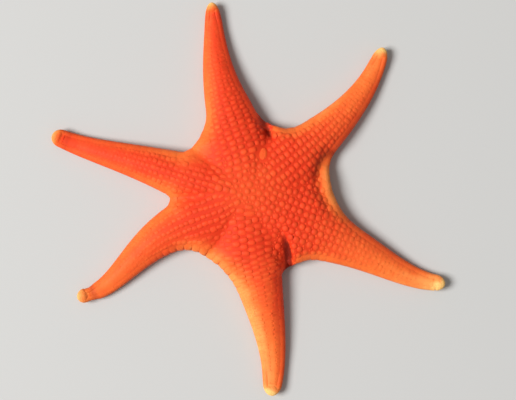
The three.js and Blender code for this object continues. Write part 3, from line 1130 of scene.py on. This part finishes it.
class Paving:
    """Plates in rows over one face of the animal, each fitted to its neighbours."""

    # Beyond this part of an arm's reach a plate belongs to the arm's piece, not to the disc's.
    ARM_FROM = 0.4
    # Parts of what two cells take up: plates nearer than the first are dropped, than the second pushed.
    CROWDED = 0.62
    CLOSE = 0.93
    # How often a plate is tried in the holes that are left, and how far out on the disc, mm.
    TRIES = 4000
    TRIED_OUT = 36
    # The half side of the smallest hole that is filled and of the largest plate in one, mm.
    SMALLEST = 0.75
    LARGEST = 1.3
    # How much a plate may be shrunk or swollen to fit its neighbours.
    FIT = (0.6, 1.05)

    def begin(self, seed):
        self.rng = np.random.default_rng(seed)
        self.skin = ground()["skin"]
        self.markings = ground()["markings"]

    def plate(self, place, normal, group, along, cell, square, fill):
        """One plate, with its piece, its direction, the half sizes of its cell in mm and its shape."""
        place, normal, along = Vector(place), Vector(normal).normalized(), Vector(along)
        return dict(place=place, normal=normal, group=group, along=along, cell=cell, square=square, fill=fill)

    def laid(self, plates):
        """Some plates and, round them, all the arms' rows with their holes filled."""
        for index in range(len(ARMS)):
            plates += self.rows(index)
        plates = self.without_crowding(plates)
        plates += self.fillers(plates)
        self.ease_apart(plates)
        return plates

    def rows(self, index):
        """An arm's plates, station by station out from the disc centre, and out to both sides of its axis."""
        arm = ARMS[index]._replace(**self.ROWS)
        plates = []
        out = self.FIRST
        while out / arm.reach < tip_start(arm) + 0.022:
            s = out / arm.reach
            along, across = (np.interp(s, PITCH_STATIONS, row) for row in (arm.along, arm.across))

            def clear(points):
                return in_wedge(index, points) & (self.markings.inside_edge(points) > self.LINE_MARGIN)

            for side in (1, -1):
                line = self.skin.cross_line(arm, s, side, clear, self.FACE, self.beside_axis(s))
                if line is not None:
                    plates += self.row(arm, s, side, line, along, across)
            out += along
        return plates

    def row(self, arm, s, side, line, along, across):
        """The plates of a line over the skin, outwards from the axis or the groove. The last fills it up."""
        lengths, places, normals = line
        plates = []
        done = -side * across / 2 if self.FACE > 0 else 0
        while lengths[-1] - done > 0.5 * across:
            left_over = (lengths[-1] - done) / across
            width = across / (1 if left_over > 2.5 else round(left_over) / left_over)
            middle = max(done + width / 2, 0) + self.rng.normal(0, 0.07 * self.LOOSE) * across
            done += width
            place, normal = along_line(middle, lengths, places), along_line(middle, lengths, normals)
            point = place[:2] / MM
            if self.taken(point) or not self.clear(point[None], self.PLATE_MARGIN)[0]:
                continue
            left = axis_at(arm, s)[1]
            group = arm.name if s > self.ARM_FROM else "disc"
            inwards = np.array([-left[1], left[0], 0])
            place = place + inwards * self.rng.normal(0, 0.08 * self.LOOSE) * along * MM
            cell = (along / 2, width / 2)
            turned = direction(math.degrees(math.atan2(-left[0], left[1])) + self.rng.normal(0, 5))
            plates.append(self.plate(place, normal, group, (*turned, 0), cell, arm.square, arm.fill))
        return plates

    def near(self, plates, kd, number, reach):
        """The neighbours of a plate, within a reach in mm.

        Gives their number, how far apart they are in parts of what the two cells take up, which way
        they push the plate, and what the two cells take up.
        """
        plate = plates[number]
        for place, other, apart in kd.find_range(plate["place"], reach * MM):
            if other == number or apart < 1e-9:
                continue
            way = (plate["place"] - place) / apart
            taken = self.reach_towards(plate, way) + self.reach_towards(plates[other], way)
            yield other, apart / MM / taken, way, taken

    def without_crowding(self, plates):
        """Drops plates that stand too close to one that came before, as where the rows of two arms meet."""
        kd = self.tree(plates)
        dropped = set()
        for number in range(len(plates)):
            for other, part, _, _ in self.near(plates, kd, number, 3.5):
                if part < self.CROWDED and other < number and other not in dropped:
                    dropped.add(number)
        return [plate for number, plate in enumerate(plates) if number not in dropped]

    def fillers(self, plates):
        """Plates for the holes that are left on the disc."""
        kd = self.tree(plates)
        added = []
        for _ in range(self.TRIES):
            way = direction(self.rng.uniform(0, 360))
            point = DISC_CENTRE + way * self.TRIED_OUT * math.sqrt(self.rng.uniform(0, 1))
            if not self.clear(point[None], 0.8)[0]:
                continue
            met = self.skin.over(point, self.FACE)
            if met is None or met[1].z * self.FACE < 0.3 or self.markings.deep([met[0]])[0] > 0.3:
                continue
            _, other, apart = kd.find(met[0])
            gap = apart / MM - 0.45 * sum(plates[other]["cell"])
            own = min([(met[0] - one["place"]).length / MM - one["cell"][0] for one in added] + [99])
            room = min(gap, own)
            if room > self.SMALLEST:
                cell = (min(room, self.LARGEST),) * 2
                along = (*direction(bearings(point)[0]), 0)
                added.append(self.plate(met[0], met[1], "disc", along, cell, 0, (0.92, 0.92)))
        return added

    def tree(self, plates):
        return tree_of([plate["place"] for plate in plates])

    def reach_towards(self, plate, way):
        """How far a plate's cell reaches in a direction, in mm."""
        x = abs(way.dot(plate["along"].normalized()))
        y = math.sqrt(max(1 - x * x, 0))
        power = 4.0 if plate["square"] else 2.0
        length, width = plate["cell"]
        return ((x / length) ** power + (y / width) ** power) ** (-1 / power)

    def ease_apart(self, plates):
        """Pushes crowded plates apart a little, over the skin."""
        for _ in range(6):
            kd = self.tree(plates)
            pushes = []
            for number in range(len(plates)):
                push = Vector()
                for _, part, way, taken in self.near(plates, kd, number, 3.8):
                    if part < self.CLOSE:
                        push += way * (self.CLOSE - part) * taken * 0.3 * MM
                pushes.append(push)
            for plate, push in zip(plates, pushes):
                if push.length > 0:
                    plate["place"], plate["normal"] = self.skin.nearest(plate["place"] + push)

    def fit(self, plates):
        """Shrinks each plate that would run into a neighbour."""
        kd = self.tree(plates)
        for number, plate in enumerate(plates):
            parts = [part for _, part, _, _ in self.near(plates, kd, number, 4.0)]
            smallest, largest = self.FIT
            factor = max(min(parts + [largest]), smallest)
            plate["half"] = tuple(size * fill * factor for size, fill in zip(plate["cell"], plate["fill"]))

    def build(self, plates, tallest, material, slot):
        """Makes the plates, the tallest being so high, one piece for each group."""
        forms = [model_plate_form(False), model_plate_form(True)]
        skin_map = ground()["map"]
        groups = {}
        all_stand = self.stands(np.array([plate["place"] for plate in plates]))
        for plate, stands in zip(plates, all_stand):
            length, width = plate["half"]
            height = tallest * min(1.0, 0.4 + 0.45 * min(length, width)) * (0.2 + 0.8 * stands)
            form = forms[plate["square"]]
            normal = (plate["normal"] + Vector(self.rng.normal(0, 0.03, 3))).normalized()
            scale = self.rng.uniform(0.9, 1.08) * MM
            sizes = (length * scale, width * scale, height)
            placed = standing(form, plate["place"], normal, plate["along"], sizes, self.SUNK)
            shade = PLAIN_SHADE + self.rng.uniform(-0.5, 0.4) * (0.3 + 0.7 * stands)
            copy = (form, placed, skin_map.at(plate["place"]), shade, 1 - stands)
            groups.setdefault(plate["group"], []).append(copy)
        for group, copies in groups.items():
            piece = joined(f"{self.NAME}_{group}", copies)
            finish_piece(piece, material)


class SEASTAR_OT_back_plates(Paving, bpy.types.Operator):
    """Cover the back with plates in rows along the arms"""

    bl_idname = "seastar.back_plates"
    bl_label = "Back plates"

    NAME = "back_plates"
    FACE = 1
    # The radius of each ring in the middle of the disc, mm, and its number of plates.
    CENTRE_RINGS = ((0.0, 1), (2.9, 6), (5.6, 12))
    # How far out the first row lies, and what the rows change in the arms' own plan.
    FIRST = CENTRE_RINGS[-1][0]
    ROWS = {}
    # How far inside the edge's plates a line of plates ends and a plate's middle lies, mm.
    LINE_MARGIN = -0.6
    PLATE_MARGIN = -0.3
    # How loosely the plates are laid, and how deep they are let into the skin.
    LOOSE = 1.0
    SUNK = 0.1 * MM
    # How far the plates keep from the sieve plate, mm.
    SIEVE_MARGIN = 1.1

    def execute(self, context):
        self.begin(SEED)
        plates = self.laid(self.centre())
        plates += self.small_plates(plates)
        self.fit(plates)
        material = plate_material("back_plates", context.scene.seastar_colours)
        self.build(plates, context.scene.seastar_sizes.plate_height, material, "back_plates")
        return {"FINISHED"}

    def beside_axis(self, s):
        return 0.0

    def taken(self, point):
        """Whether the plates in the middle of the disc take up a plan point."""
        return np.linalg.norm(point - BACK_CENTRE) < self.CENTRE_RINGS[-1][0] + 1.3

    def stands(self, places):
        """How far the plates at these places stand out, 0 to 1."""
        return np.minimum(self.markings.relief(places), 1 - 0.6 * self.markings.deep(places))

    def clear(self, points, margin):
        """Whether plan points keep clear of the edge's plates and of the sieve plate."""
        centre = DISC_CENTRE + direction(SIEVE["bearing"]) * SIEVE["radius"]
        long_way = direction(SIEVE["bearing"] + SIEVE["turn"])
        out = points - centre
        x, y = out @ long_way, out @ np.array([-long_way[1], long_way[0]])
        half_length, half_width = np.array((SIEVE["half_length"], SIEVE["half_width"])) + self.SIEVE_MARGIN
        inside = np.hypot(x / half_length, y / half_width) < 1
        return ~inside & (self.markings.inside_edge(points) > margin)

    def centre(self):
        """The large plates in the middle of the disc, in rings."""
        plates = []
        for radius, count in self.CENTRE_RINGS:
            for number in range(count):
                bearing = 15 + 360 * (number + self.rng.normal(0, 0.07)) / count
                point = BACK_CENTRE + direction(bearing) * radius
                if radius:
                    point = point + self.rng.normal(0, 0.3, 2)
                cell = 1.75 if radius == 0 else self.rng.uniform(1.2, 1.6)
                along = (*direction(bearing), 0)
                plates.append(self.plate(*self.skin.over(point), "disc", along, (cell, cell), 0, (0.9, 0.9)))
        return plates

    def small_plates(self, plates):
        """Small low plates in the larger gaps between the others."""
        kd = self.tree(plates)
        added = []
        for plate in plates:
            if plate["square"]:
                continue
            turn = self.rng.uniform(0, 2 * math.pi)
            for step in range(8):
                way = direction(math.degrees(turn) + 45 * step)
                place = plate["place"] + Vector((*way, 0)) * (plate["cell"][0] + 0.45) * MM
                place, normal = self.skin.nearest(place)
                around = [(apart, plates[other]) for _, other, apart in kd.find_n(place, 4)]
                gaps = [apart / MM - 0.94 * sum(other["cell"]) / 2 for apart, other in around]
                gaps += [(place - one["place"]).length / MM - one["cell"][0] for one in added[-60:]]
                if min(gaps) > 0.36 and self.clear(np.array([place[:2]]) / MM, 0.3)[0]:
                    cell = (min(min(gaps), 0.7),) * 2
                    added.append(self.plate(place, normal, plate["group"], plate["along"], cell, 0, (1, 1)))
        return added


class SEASTAR_OT_under_plates(Paving, bpy.types.Operator):
    """Pave the underside beside the grooves with flat plates"""

    bl_idname = "seastar.under_plates"
    bl_label = "Underside plates"

    NAME = "under_plates"
    FACE = -1
    FIRST = MOUTH + 3.2
    ROWS = {
        "along": (2.1, 2.0, 1.7, 1.3),
        "across": (2.1, 2.0, 1.7, 1.3),
        "fill": (1.15, 1.15),
        "lean": 0,
        "bow": 0.012,
        "square": 1,
    }
    LINE_MARGIN = -1.8
    PLATE_MARGIN = -1.5
    LOOSE = 0.4
    SUNK = 0.0

    def execute(self, context):
        self.begin(SEED + 2)
        plates = self.laid([])
        self.fit(plates)
        material = plate_material("under_plates", context.scene.seastar_colours, **UNDER_PLATES)
        self.build(plates, context.scene.seastar_sizes.plate_height, material, "edge_plates")
        return {"FINISHED"}

    def beside_axis(self, s):
        """How far from the axis the plates that line the groove end."""
        return between(GROOVE, s) + GROOVE_RIM + between(GROOVE_PLATE, s)

    def clear(self, points, margin):
        """Whether plan points keep clear of the mouth, the grooves' plates and the edge's plates."""
        found = [self.markings.axes.find((x, y, 0)) for x, y in points]
        stations = self.markings.stations[[number for _, number, _ in found]]
        past_groove = np.array([apart for _, _, apart in found]) - self.beside_axis(stations)
        past_mouth = bearings(points)[1] - MOUTH - 2.4
        return (past_groove > 0.3) & (past_mouth > 0) & (self.markings.inside_edge(points) > margin)

    def taken(self, point):
        return False

    def stands(self, places):
        return np.full(len(places), 0.85)


def beneath(arm, out, aside):
    """The skin's underside so many mm out along an arm and to the left of its axis.

    Gives the place and the ways along the arm and to its left, or None.
    """
    point, left = axis_at(arm, out / arm.reach)
    met = ground()["skin"].over(point + left * aside, -1)
    return met and (met[0], Vector((left[1], -left[0], 0)), Vector((*left, 0)))


class SEASTAR_OT_groove_plates(bpy.types.Operator):
    """Line both sides of each groove with plates, and lean their short spines over it"""

    bl_idname = "seastar.groove_plates"
    bl_label = "Groove plates"

    def execute(self, context):
        self.rng = np.random.default_rng(SEED + 3)
        self.forms = model_plate_form(True), model_spine_form()
        material = plate_material("groove_plates", context.scene.seastar_colours, **UNDER_PLATES)
        for number, arm in enumerate(ARMS, 1):
            copies = []
            for side in (1, -1):
                out = MOUTH + 2.2
                while out < tip_start(arm) * arm.reach - 0.2:
                    copies += self.plate_with_spines(arm, out, side)
                    out += between(GROOVE_PITCH, out / arm.reach)
            piece = joined(f"groove_plates_{number}", copies)
            finish_piece(piece, material)
        return {"FINISHED"}

    def plate_with_spines(self, arm, out, side):
        s = out / arm.reach
        pitch, width, half = between(GROOVE_PITCH, s), between(GROOVE_PLATE, s), between(GROOVE, s)
        met = beneath(arm, out, side * (half + GROOVE_RIM + width / 2))
        if met is None:
            return []
        place, along, left = met
        spot = ground()["map"].at(place)
        shade = PLAIN_SHADE + self.rng.uniform(-0.3, 0.3)
        plate, spine = self.forms
        sizes = (0.48 * pitch * MM, 0.5 * width * MM, 0.4 * MM)
        copies = [(plate, standing(plate, place, (0, 0, -1), along, sizes), spot, shade, 0.5)]
        for step in (-1, 0, 1):
            root = place + (along * (step * 0.3 * pitch) - left * (side * 0.42 * width)) * MM
            lean = Vector(self.rng.normal(0, 0.08, 3))
            way = Vector((0, 0, -0.5)) - left * side + along * (0.25 * step) + lean
            length = (1.2 - 0.5 * s) * self.rng.uniform(0.85, 1.1) * MM
            thick = (0.19 - 0.06 * s) * MM
            placed = standing(spine, root, way.normalized(), along, (thick, thick, length))
            copies.append((spine, placed, spot, shade + 0.2, 0.4))
        return copies


class SEASTAR_OT_jaws(bpy.types.Operator):
    """Point a jaw with its spines into the mouth between each two grooves"""

    bl_idname = "seastar.jaws"
    bl_label = "Jaws"

    # From its root to its point a jaw reaches between these distances from the mouth's middle, mm.
    REACH = (7.6, 2.2)
    HALF_WIDTH = 1.75
    TOP = 2.4
    # The number of spines on each side, and their radius and length, mm.
    SPINES = 5
    SPINE_RADIUS = 0.22
    SPINE_LENGTH = 1.3

    def execute(self, context):
        jaw, spine = model_jaw_form(), model_spine_form()
        middle, half_length = sum(self.REACH) / 2, (self.REACH[0] - self.REACH[1]) / 2
        copies = []
        for index, arm in enumerate(ARMS):
            after = ARMS[(index + 1) % len(ARMS)]
            sides = [bearings(axis_at(one, middle / one.reach)[0])[0] for one in (arm, after)]
            bearing = sides[0] + (sides[1] - sides[0]) % 360 / 2
            out, aside = direction(bearing), direction(bearing + 90)
            place = np.array([*(DISC_CENTRE + out * middle), self.TOP]) * MM
            inwards = Vector((*-out, 0))
            sizes = (half_length * MM, self.HALF_WIDTH * MM, (self.TOP - 0.12) * MM)
            spine_sizes = (self.SPINE_RADIUS * MM, self.SPINE_RADIUS * MM, self.SPINE_LENGTH * MM)
            spot = ground()["map"].at(place)
            copies.append((jaw, standing(jaw, place, (0, 0, -1), inwards, sizes), spot, 0.65, 0.6))
            for side in (1, -1):
                for step in np.linspace(0.1, 1, self.SPINES):
                    from_middle = self.REACH[0] + (self.REACH[1] - self.REACH[0]) * step
                    off = side * self.HALF_WIDTH * (0.96 - 0.72 * step**1.2)
                    root = np.array([*(DISC_CENTRE + out * from_middle + aside * off), 0.75]) * MM
                    way = inwards * (0.3 + 0.7 * step) + Vector((*aside, 0)) * side * (1 - 0.7 * step)
                    way.z = -0.3
                    placed = standing(spine, root, way.normalized(), inwards, spine_sizes)
                    copies.append((spine, placed, spot, 0.85, 0.4))
        material = plate_material("jaws", context.scene.seastar_colours, **UNDER_PLATES)
        finish_piece(joined("jaws", copies), material)
        return {"FINISHED"}


class SEASTAR_OT_tube_feet(bpy.types.Operator):
    """Set two rows of feet with suckers in each groove"""

    bl_idname = "seastar.tube_feet"
    bl_label = "Tube feet"

    def execute(self, context):
        rng = np.random.default_rng(SEED + 4)
        form = model_foot_form()
        material = foot_material(context.scene.seastar_colours)
        for number, arm in enumerate(ARMS, 1):
            copies = []
            for side in (1, -1):
                out = MOUTH - 1.2 + 0.35 * side
                while out < tip_start(arm) * arm.reach - 0.5:
                    half = between(GROOVE, out / arm.reach)
                    met = beneath(arm, out, side * 0.46 * half)
                    radius = 0.4 * half
                    out += 2.1 * radius
                    if met is None:
                        continue
                    place, along, _ = met
                    way = Vector((*rng.normal(0, 0.1, 2), -1)).normalized()
                    longest = (3.6 - 2.0 * out / arm.reach) * MM
                    length = min(place.z, longest) * rng.uniform(0.86, 1.0)
                    sizes = (radius * MM, radius * MM, length)
                    placed = standing(form, place, way, along, sizes, -0.02 * length)
                    copies.append((form, placed, ground()["map"].at(place), PLAIN_SHADE, 0.0))
            finish_piece(joined(f"tube_feet_{number}", copies), material)
        return {"FINISHED"}


class SEASTAR_OT_edge_plates(bpy.types.Operator):
    """Lay the two rows of plates along the animal's edge"""

    bl_idname = "seastar.edge_plates"
    bl_label = "Edge plates"

    # Each row with the turns at which its plates begin and end.
    ROWS = (("upper", 97, 6), ("lower", 4, -66))
    # The length of a plate at the arms' tips, and how much longer it is far from them, mm.
    LENGTH = 1.3
    LONGER = 1.7
    # How deep the plates are let into the skin, and half the cut between two of them in mm.
    SUNK = 0.1 * MM
    CUT = 0.01
    # The sharpest fold, in degrees, over which a plate is shaded smooth.
    SMOOTH = 70

    def execute(self, context):
        rng = np.random.default_rng(SEED + 1)
        material = plate_material("edge_plates", context.scene.seastar_colours, granule=2500, depth=0.3)
        form = model_block_form()
        skin_map = ground()["map"]
        for row, high, low in self.ROWS:
            for index, edge in enumerate(ground()["edges"]):
                copies = []
                start = 0.3
                while start < edge.length - 1.0:
                    from_tip = min(start, edge.length - start)
                    length = self.LENGTH + self.LONGER * ease(from_tip, 0, edge.FULL_FROM)
                    end = min(start + length, edge.length)
                    u, v, w = form.vertices.T
                    v = v if row == "upper" else -v
                    lengths = (start + end) / 2 + u * ((end - start) / 2 - self.CUT)
                    turns = (high + low) / 2 + v * (high - low) / 2
                    places, normals, room = edge.at(lengths, turns)
                    beaded = np.interp((start + end) / 2, edge.lengths, edge.beaded)
                    flat = (1 - 0.3 * ease(from_tip, 12, 48)) * (1 - beaded)
                    w = np.where(form.top, 1 - form.sunk * (1 - flat + 0.5 * beaded), 0)
                    w *= 1 - ease(form.vertices[:, 1], 0.1, 1.05)
                    lift = w[:, None] * (room + self.SUNK) - self.SUNK
                    spot = skin_map.at(places.mean(0))
                    # Beaded plates keep more painted shade at their joints, flat ones less.
                    filled = 0.62 + 0.35 * flat - 0.4 * beaded
                    shade = PLAIN_SHADE + rng.uniform(-0.4, 0.4) * (1 - 0.7 * flat)
                    copies.append((form, places + normals * lift, spot, shade, filled))
                    start = end
                piece = joined(f"{row}_edge_plates_{index + 1}", copies)
                select_only(piece)
                bpy.ops.object.shade_smooth_by_angle(angle=math.radians(self.SMOOTH))
                finish_piece(piece, material)
        return {"FINISHED"}


class SEASTAR_OT_tip_plates(bpy.types.Operator):
    """Cap each arm with its granular end plate"""

    bl_idname = "seastar.tip_plates"
    bl_label = "Tip plates"

    GRAIN = 0.16 * MM
    GRANULE = 0.5 * MM

    def execute(self, context):
        material = plate_material("tip_plates", context.scene.seastar_colours, granule=2400)
        granules = bpy.data.textures.new("granules", "VORONOI")
        granules.noise_scale = self.GRANULE
        for number, node in enumerate(TIPS, 1):
            piece = merged_copy([node], f"tip_plate_{number}")
            apply_modifier(piece, "REMESH", mode="VOXEL", voxel_size=self.GRAIN)
            apply_modifier(piece, "SMOOTH", factor=0.5, iterations=10)
            apply_modifier(piece, "DISPLACE", texture=granules, strength=-0.1 * MM, mid_level=0.0)
            self.taper(piece, ARMS[number - 1])
            shade_smooth(piece.data)
            places = coordinates(piece)
            marking, deep = ground()["markings"].at(places), ground()["markings"].deep(places)
            set_values(piece.data, marking=marking, crown=1, shade=PLAIN_SHADE, deep=deep)
            finish_piece(piece, material, [node])
        return {"FINISHED"}

    def taper(self, piece, arm):
        """Draws the plate in and back towards the arm, so that it ends under the arm's last plates."""
        places = coordinates(piece)
        _, part = ground()["markings"].nearest_arm(places[:, :2] / MM)
        _, left = axis_at(arm, part)
        along = np.stack([left[:, 1], -left[:, 0], np.zeros(len(left))], 1)
        normals = vertex_normals(piece)
        across = normals - along * (normals * along).sum(1, keepdims=True)
        from_joint = (part - tip_start(arm)) * arm.reach
        drawn = 0.85 * ease(from_joint, 2.0, 0.0)
        back = 0.3 * ease(from_joint, 1.2, 0.0)
        set_coordinates(piece, places - (across * drawn[:, None] + along * back[:, None]) * MM)


class SEASTAR_OT_sieve_plate(bpy.types.Operator):
    """Make the furrowed sieve plate"""

    bl_idname = "seastar.sieve_plate"
    bl_label = "Sieve plate"

    GRAIN = 0.09 * MM
    # Half the depth of its furrows, and how far it is sunk, mm.
    FURROW = 0.09
    SUNK = 0.4
    MARKING = 0.26
    SHADE = 0.8

    def execute(self, context):
        piece = merged_copy(["madreporite"], "sieve_plate")
        apply_modifier(piece, "REMESH", mode="VOXEL", voxel_size=self.GRAIN)
        apply_modifier(piece, "SMOOTH", factor=0.5, iterations=6)
        places = coordinates(piece)
        low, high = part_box("madreporite")
        centre = np.array((low + high) / 2)
        out = (places - centre)[:, :2] / MM
        bearing = np.arctan2(out[:, 1], out[:, 0])
        radius = np.linalg.norm(out, axis=1)
        winding = 0.5 * np.sin(3 * radius + 2 * bearing) + 0.35 * np.sin(5.1 * radius - 3 * bearing)
        furrow = np.where(radius < 0.9, np.cos(9 * bearing + winding), np.cos(19 * bearing + 2 * winding))
        above = ease(vertex_normals(piece)[:, 2], 0.2, 0.6)
        places[:, 2] += (self.FURROW * furrow * above - self.SUNK) * MM
        set_coordinates(piece, places)
        shade_smooth(piece.data)
        # Darker down in its furrows: painted shade.
        crown = 0.55 + 0.45 * ease(furrow, -0.8, 0.4)
        set_values(piece.data, marking=self.MARKING, crown=crown, shade=self.SHADE)
        material = plate_material("sieve_plate", context.scene.seastar_colours, granule=5000)
        finish_piece(piece, material, ["madreporite"])
        return {"FINISHED"}


class SEASTAR_OT_stage(bpy.types.Operator):
    """Set the floor, the lights and the camera"""

    bl_idname = "seastar.stage"
    bl_label = "Stage"

    # The camera looks straight down at this point of the floor, in mm.
    AIM = (3.83, -0.36)
    # The main light is so far away and so wide, in metres.
    KEY_DISTANCE = 2.6
    KEY_SIZE = 1.3

    def execute(self, context):
        stage = context.scene.seastar_stage
        self.floor(context)
        self.lights(context, stage)
        camera = bpy.data.objects.new("camera", bpy.data.cameras.new("camera"))
        camera.data.lens = camera.data.sensor_width * stage.camera_height / stage.view_width
        camera.location = (self.AIM[0] * MM, self.AIM[1] * MM, stage.camera_height)
        camera.data.clip_start = 0.01
        context.scene.collection.objects.link(camera)
        context.scene.camera = camera
        context.scene.view_settings.view_transform = "Standard"
        return {"FINISHED"}

    def floor(self, context):
        floor = stock_shape(bpy.ops.mesh.primitive_circle_add, vertices=96, radius=4, fill_type="NGON")
        floor.name = "floor"
        nodes = Nodes("floor")
        nodes.shader.inputs["Base Color"].default_value = (*context.scene.seastar_colours.floor, 1)
        nodes.shader.inputs["Roughness"].default_value = 0.8
        nodes.shader.inputs["Specular IOR Level"].default_value = 0.05
        floor.data.materials.append(nodes.material)

    def lights(self, context, stage):
        data = bpy.data.lights.new("key", "AREA")
        data.shape = "DISK"
        data.size = self.KEY_SIZE
        data.energy = stage.key_power
        key = bpy.data.objects.new("key", data)
        away = Vector((*direction(math.degrees(stage.key_bearing)), 0)) * math.cos(stage.key_height)
        away.z = math.sin(stage.key_height)
        key.location = away * self.KEY_DISTANCE
        key.rotation_euler = away.to_track_quat("Z", "Y").to_euler()
        context.scene.collection.objects.link(key)
        world = bpy.data.worlds.new("studio")
        world.use_nodes = True
        background = world.node_tree.nodes["Background"]
        background.inputs["Color"].default_value = (1, 1, 1, 1)
        background.inputs["Strength"].default_value = stage.fill
        context.scene.world = world


class SEASTAR_PT_panel(bpy.types.Panel):
    bl_idname = "SEASTAR_PT_panel"
    bl_label = "Sea Star"
    bl_space_type = "VIEW_3D"
    bl_region_type = "UI"
    bl_category = "Sea Star"

    def draw(self, context):
        for group in (getattr(context.scene, name) for name in GROUPS):
            box = self.layout.box()
            for name in group.bl_rna.properties.keys():
                if name not in ("rna_type", "name"):
                    box.prop(group, name)
        for operator in OPERATORS:
            self.layout.operator(operator.bl_idname)


OPERATORS = (
    SEASTAR_OT_skin,
    SEASTAR_OT_back_plates,
    SEASTAR_OT_edge_plates,
    SEASTAR_OT_tip_plates,
    SEASTAR_OT_sieve_plate,
    SEASTAR_OT_under_plates,
    SEASTAR_OT_groove_plates,
    SEASTAR_OT_jaws,
    SEASTAR_OT_tube_feet,
    SEASTAR_OT_stage,
)
GROUPS = {
    "seastar_sizes": SeaStarSizes,
    "seastar_colours": SeaStarColours,
    "seastar_stage": SeaStarStage,
}
CLASSES = (*GROUPS.values(), *OPERATORS, SEASTAR_PT_panel)


def register():
    for one in CLASSES:
        bpy.utils.register_class(one)
    for name, group in GROUPS.items():
        setattr(bpy.types.Scene, name, bpy.props.PointerProperty(type=group))


def unregister():
    for name in GROUPS:
        delattr(bpy.types.Scene, name)
    for one in reversed(CLASSES):
        bpy.utils.unregister_class(one)


def main():
    register()
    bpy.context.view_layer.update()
    bpy.ops.seastar.skin()
    bpy.ops.seastar.back_plates()
    bpy.ops.seastar.edge_plates()
    bpy.ops.seastar.tip_plates()
    bpy.ops.seastar.sieve_plate()
    bpy.ops.seastar.under_plates()
    bpy.ops.seastar.groove_plates()
    bpy.ops.seastar.jaws()
    bpy.ops.seastar.tube_feet()
    bpy.ops.seastar.stage()


if __name__ == "__main__":
    main()
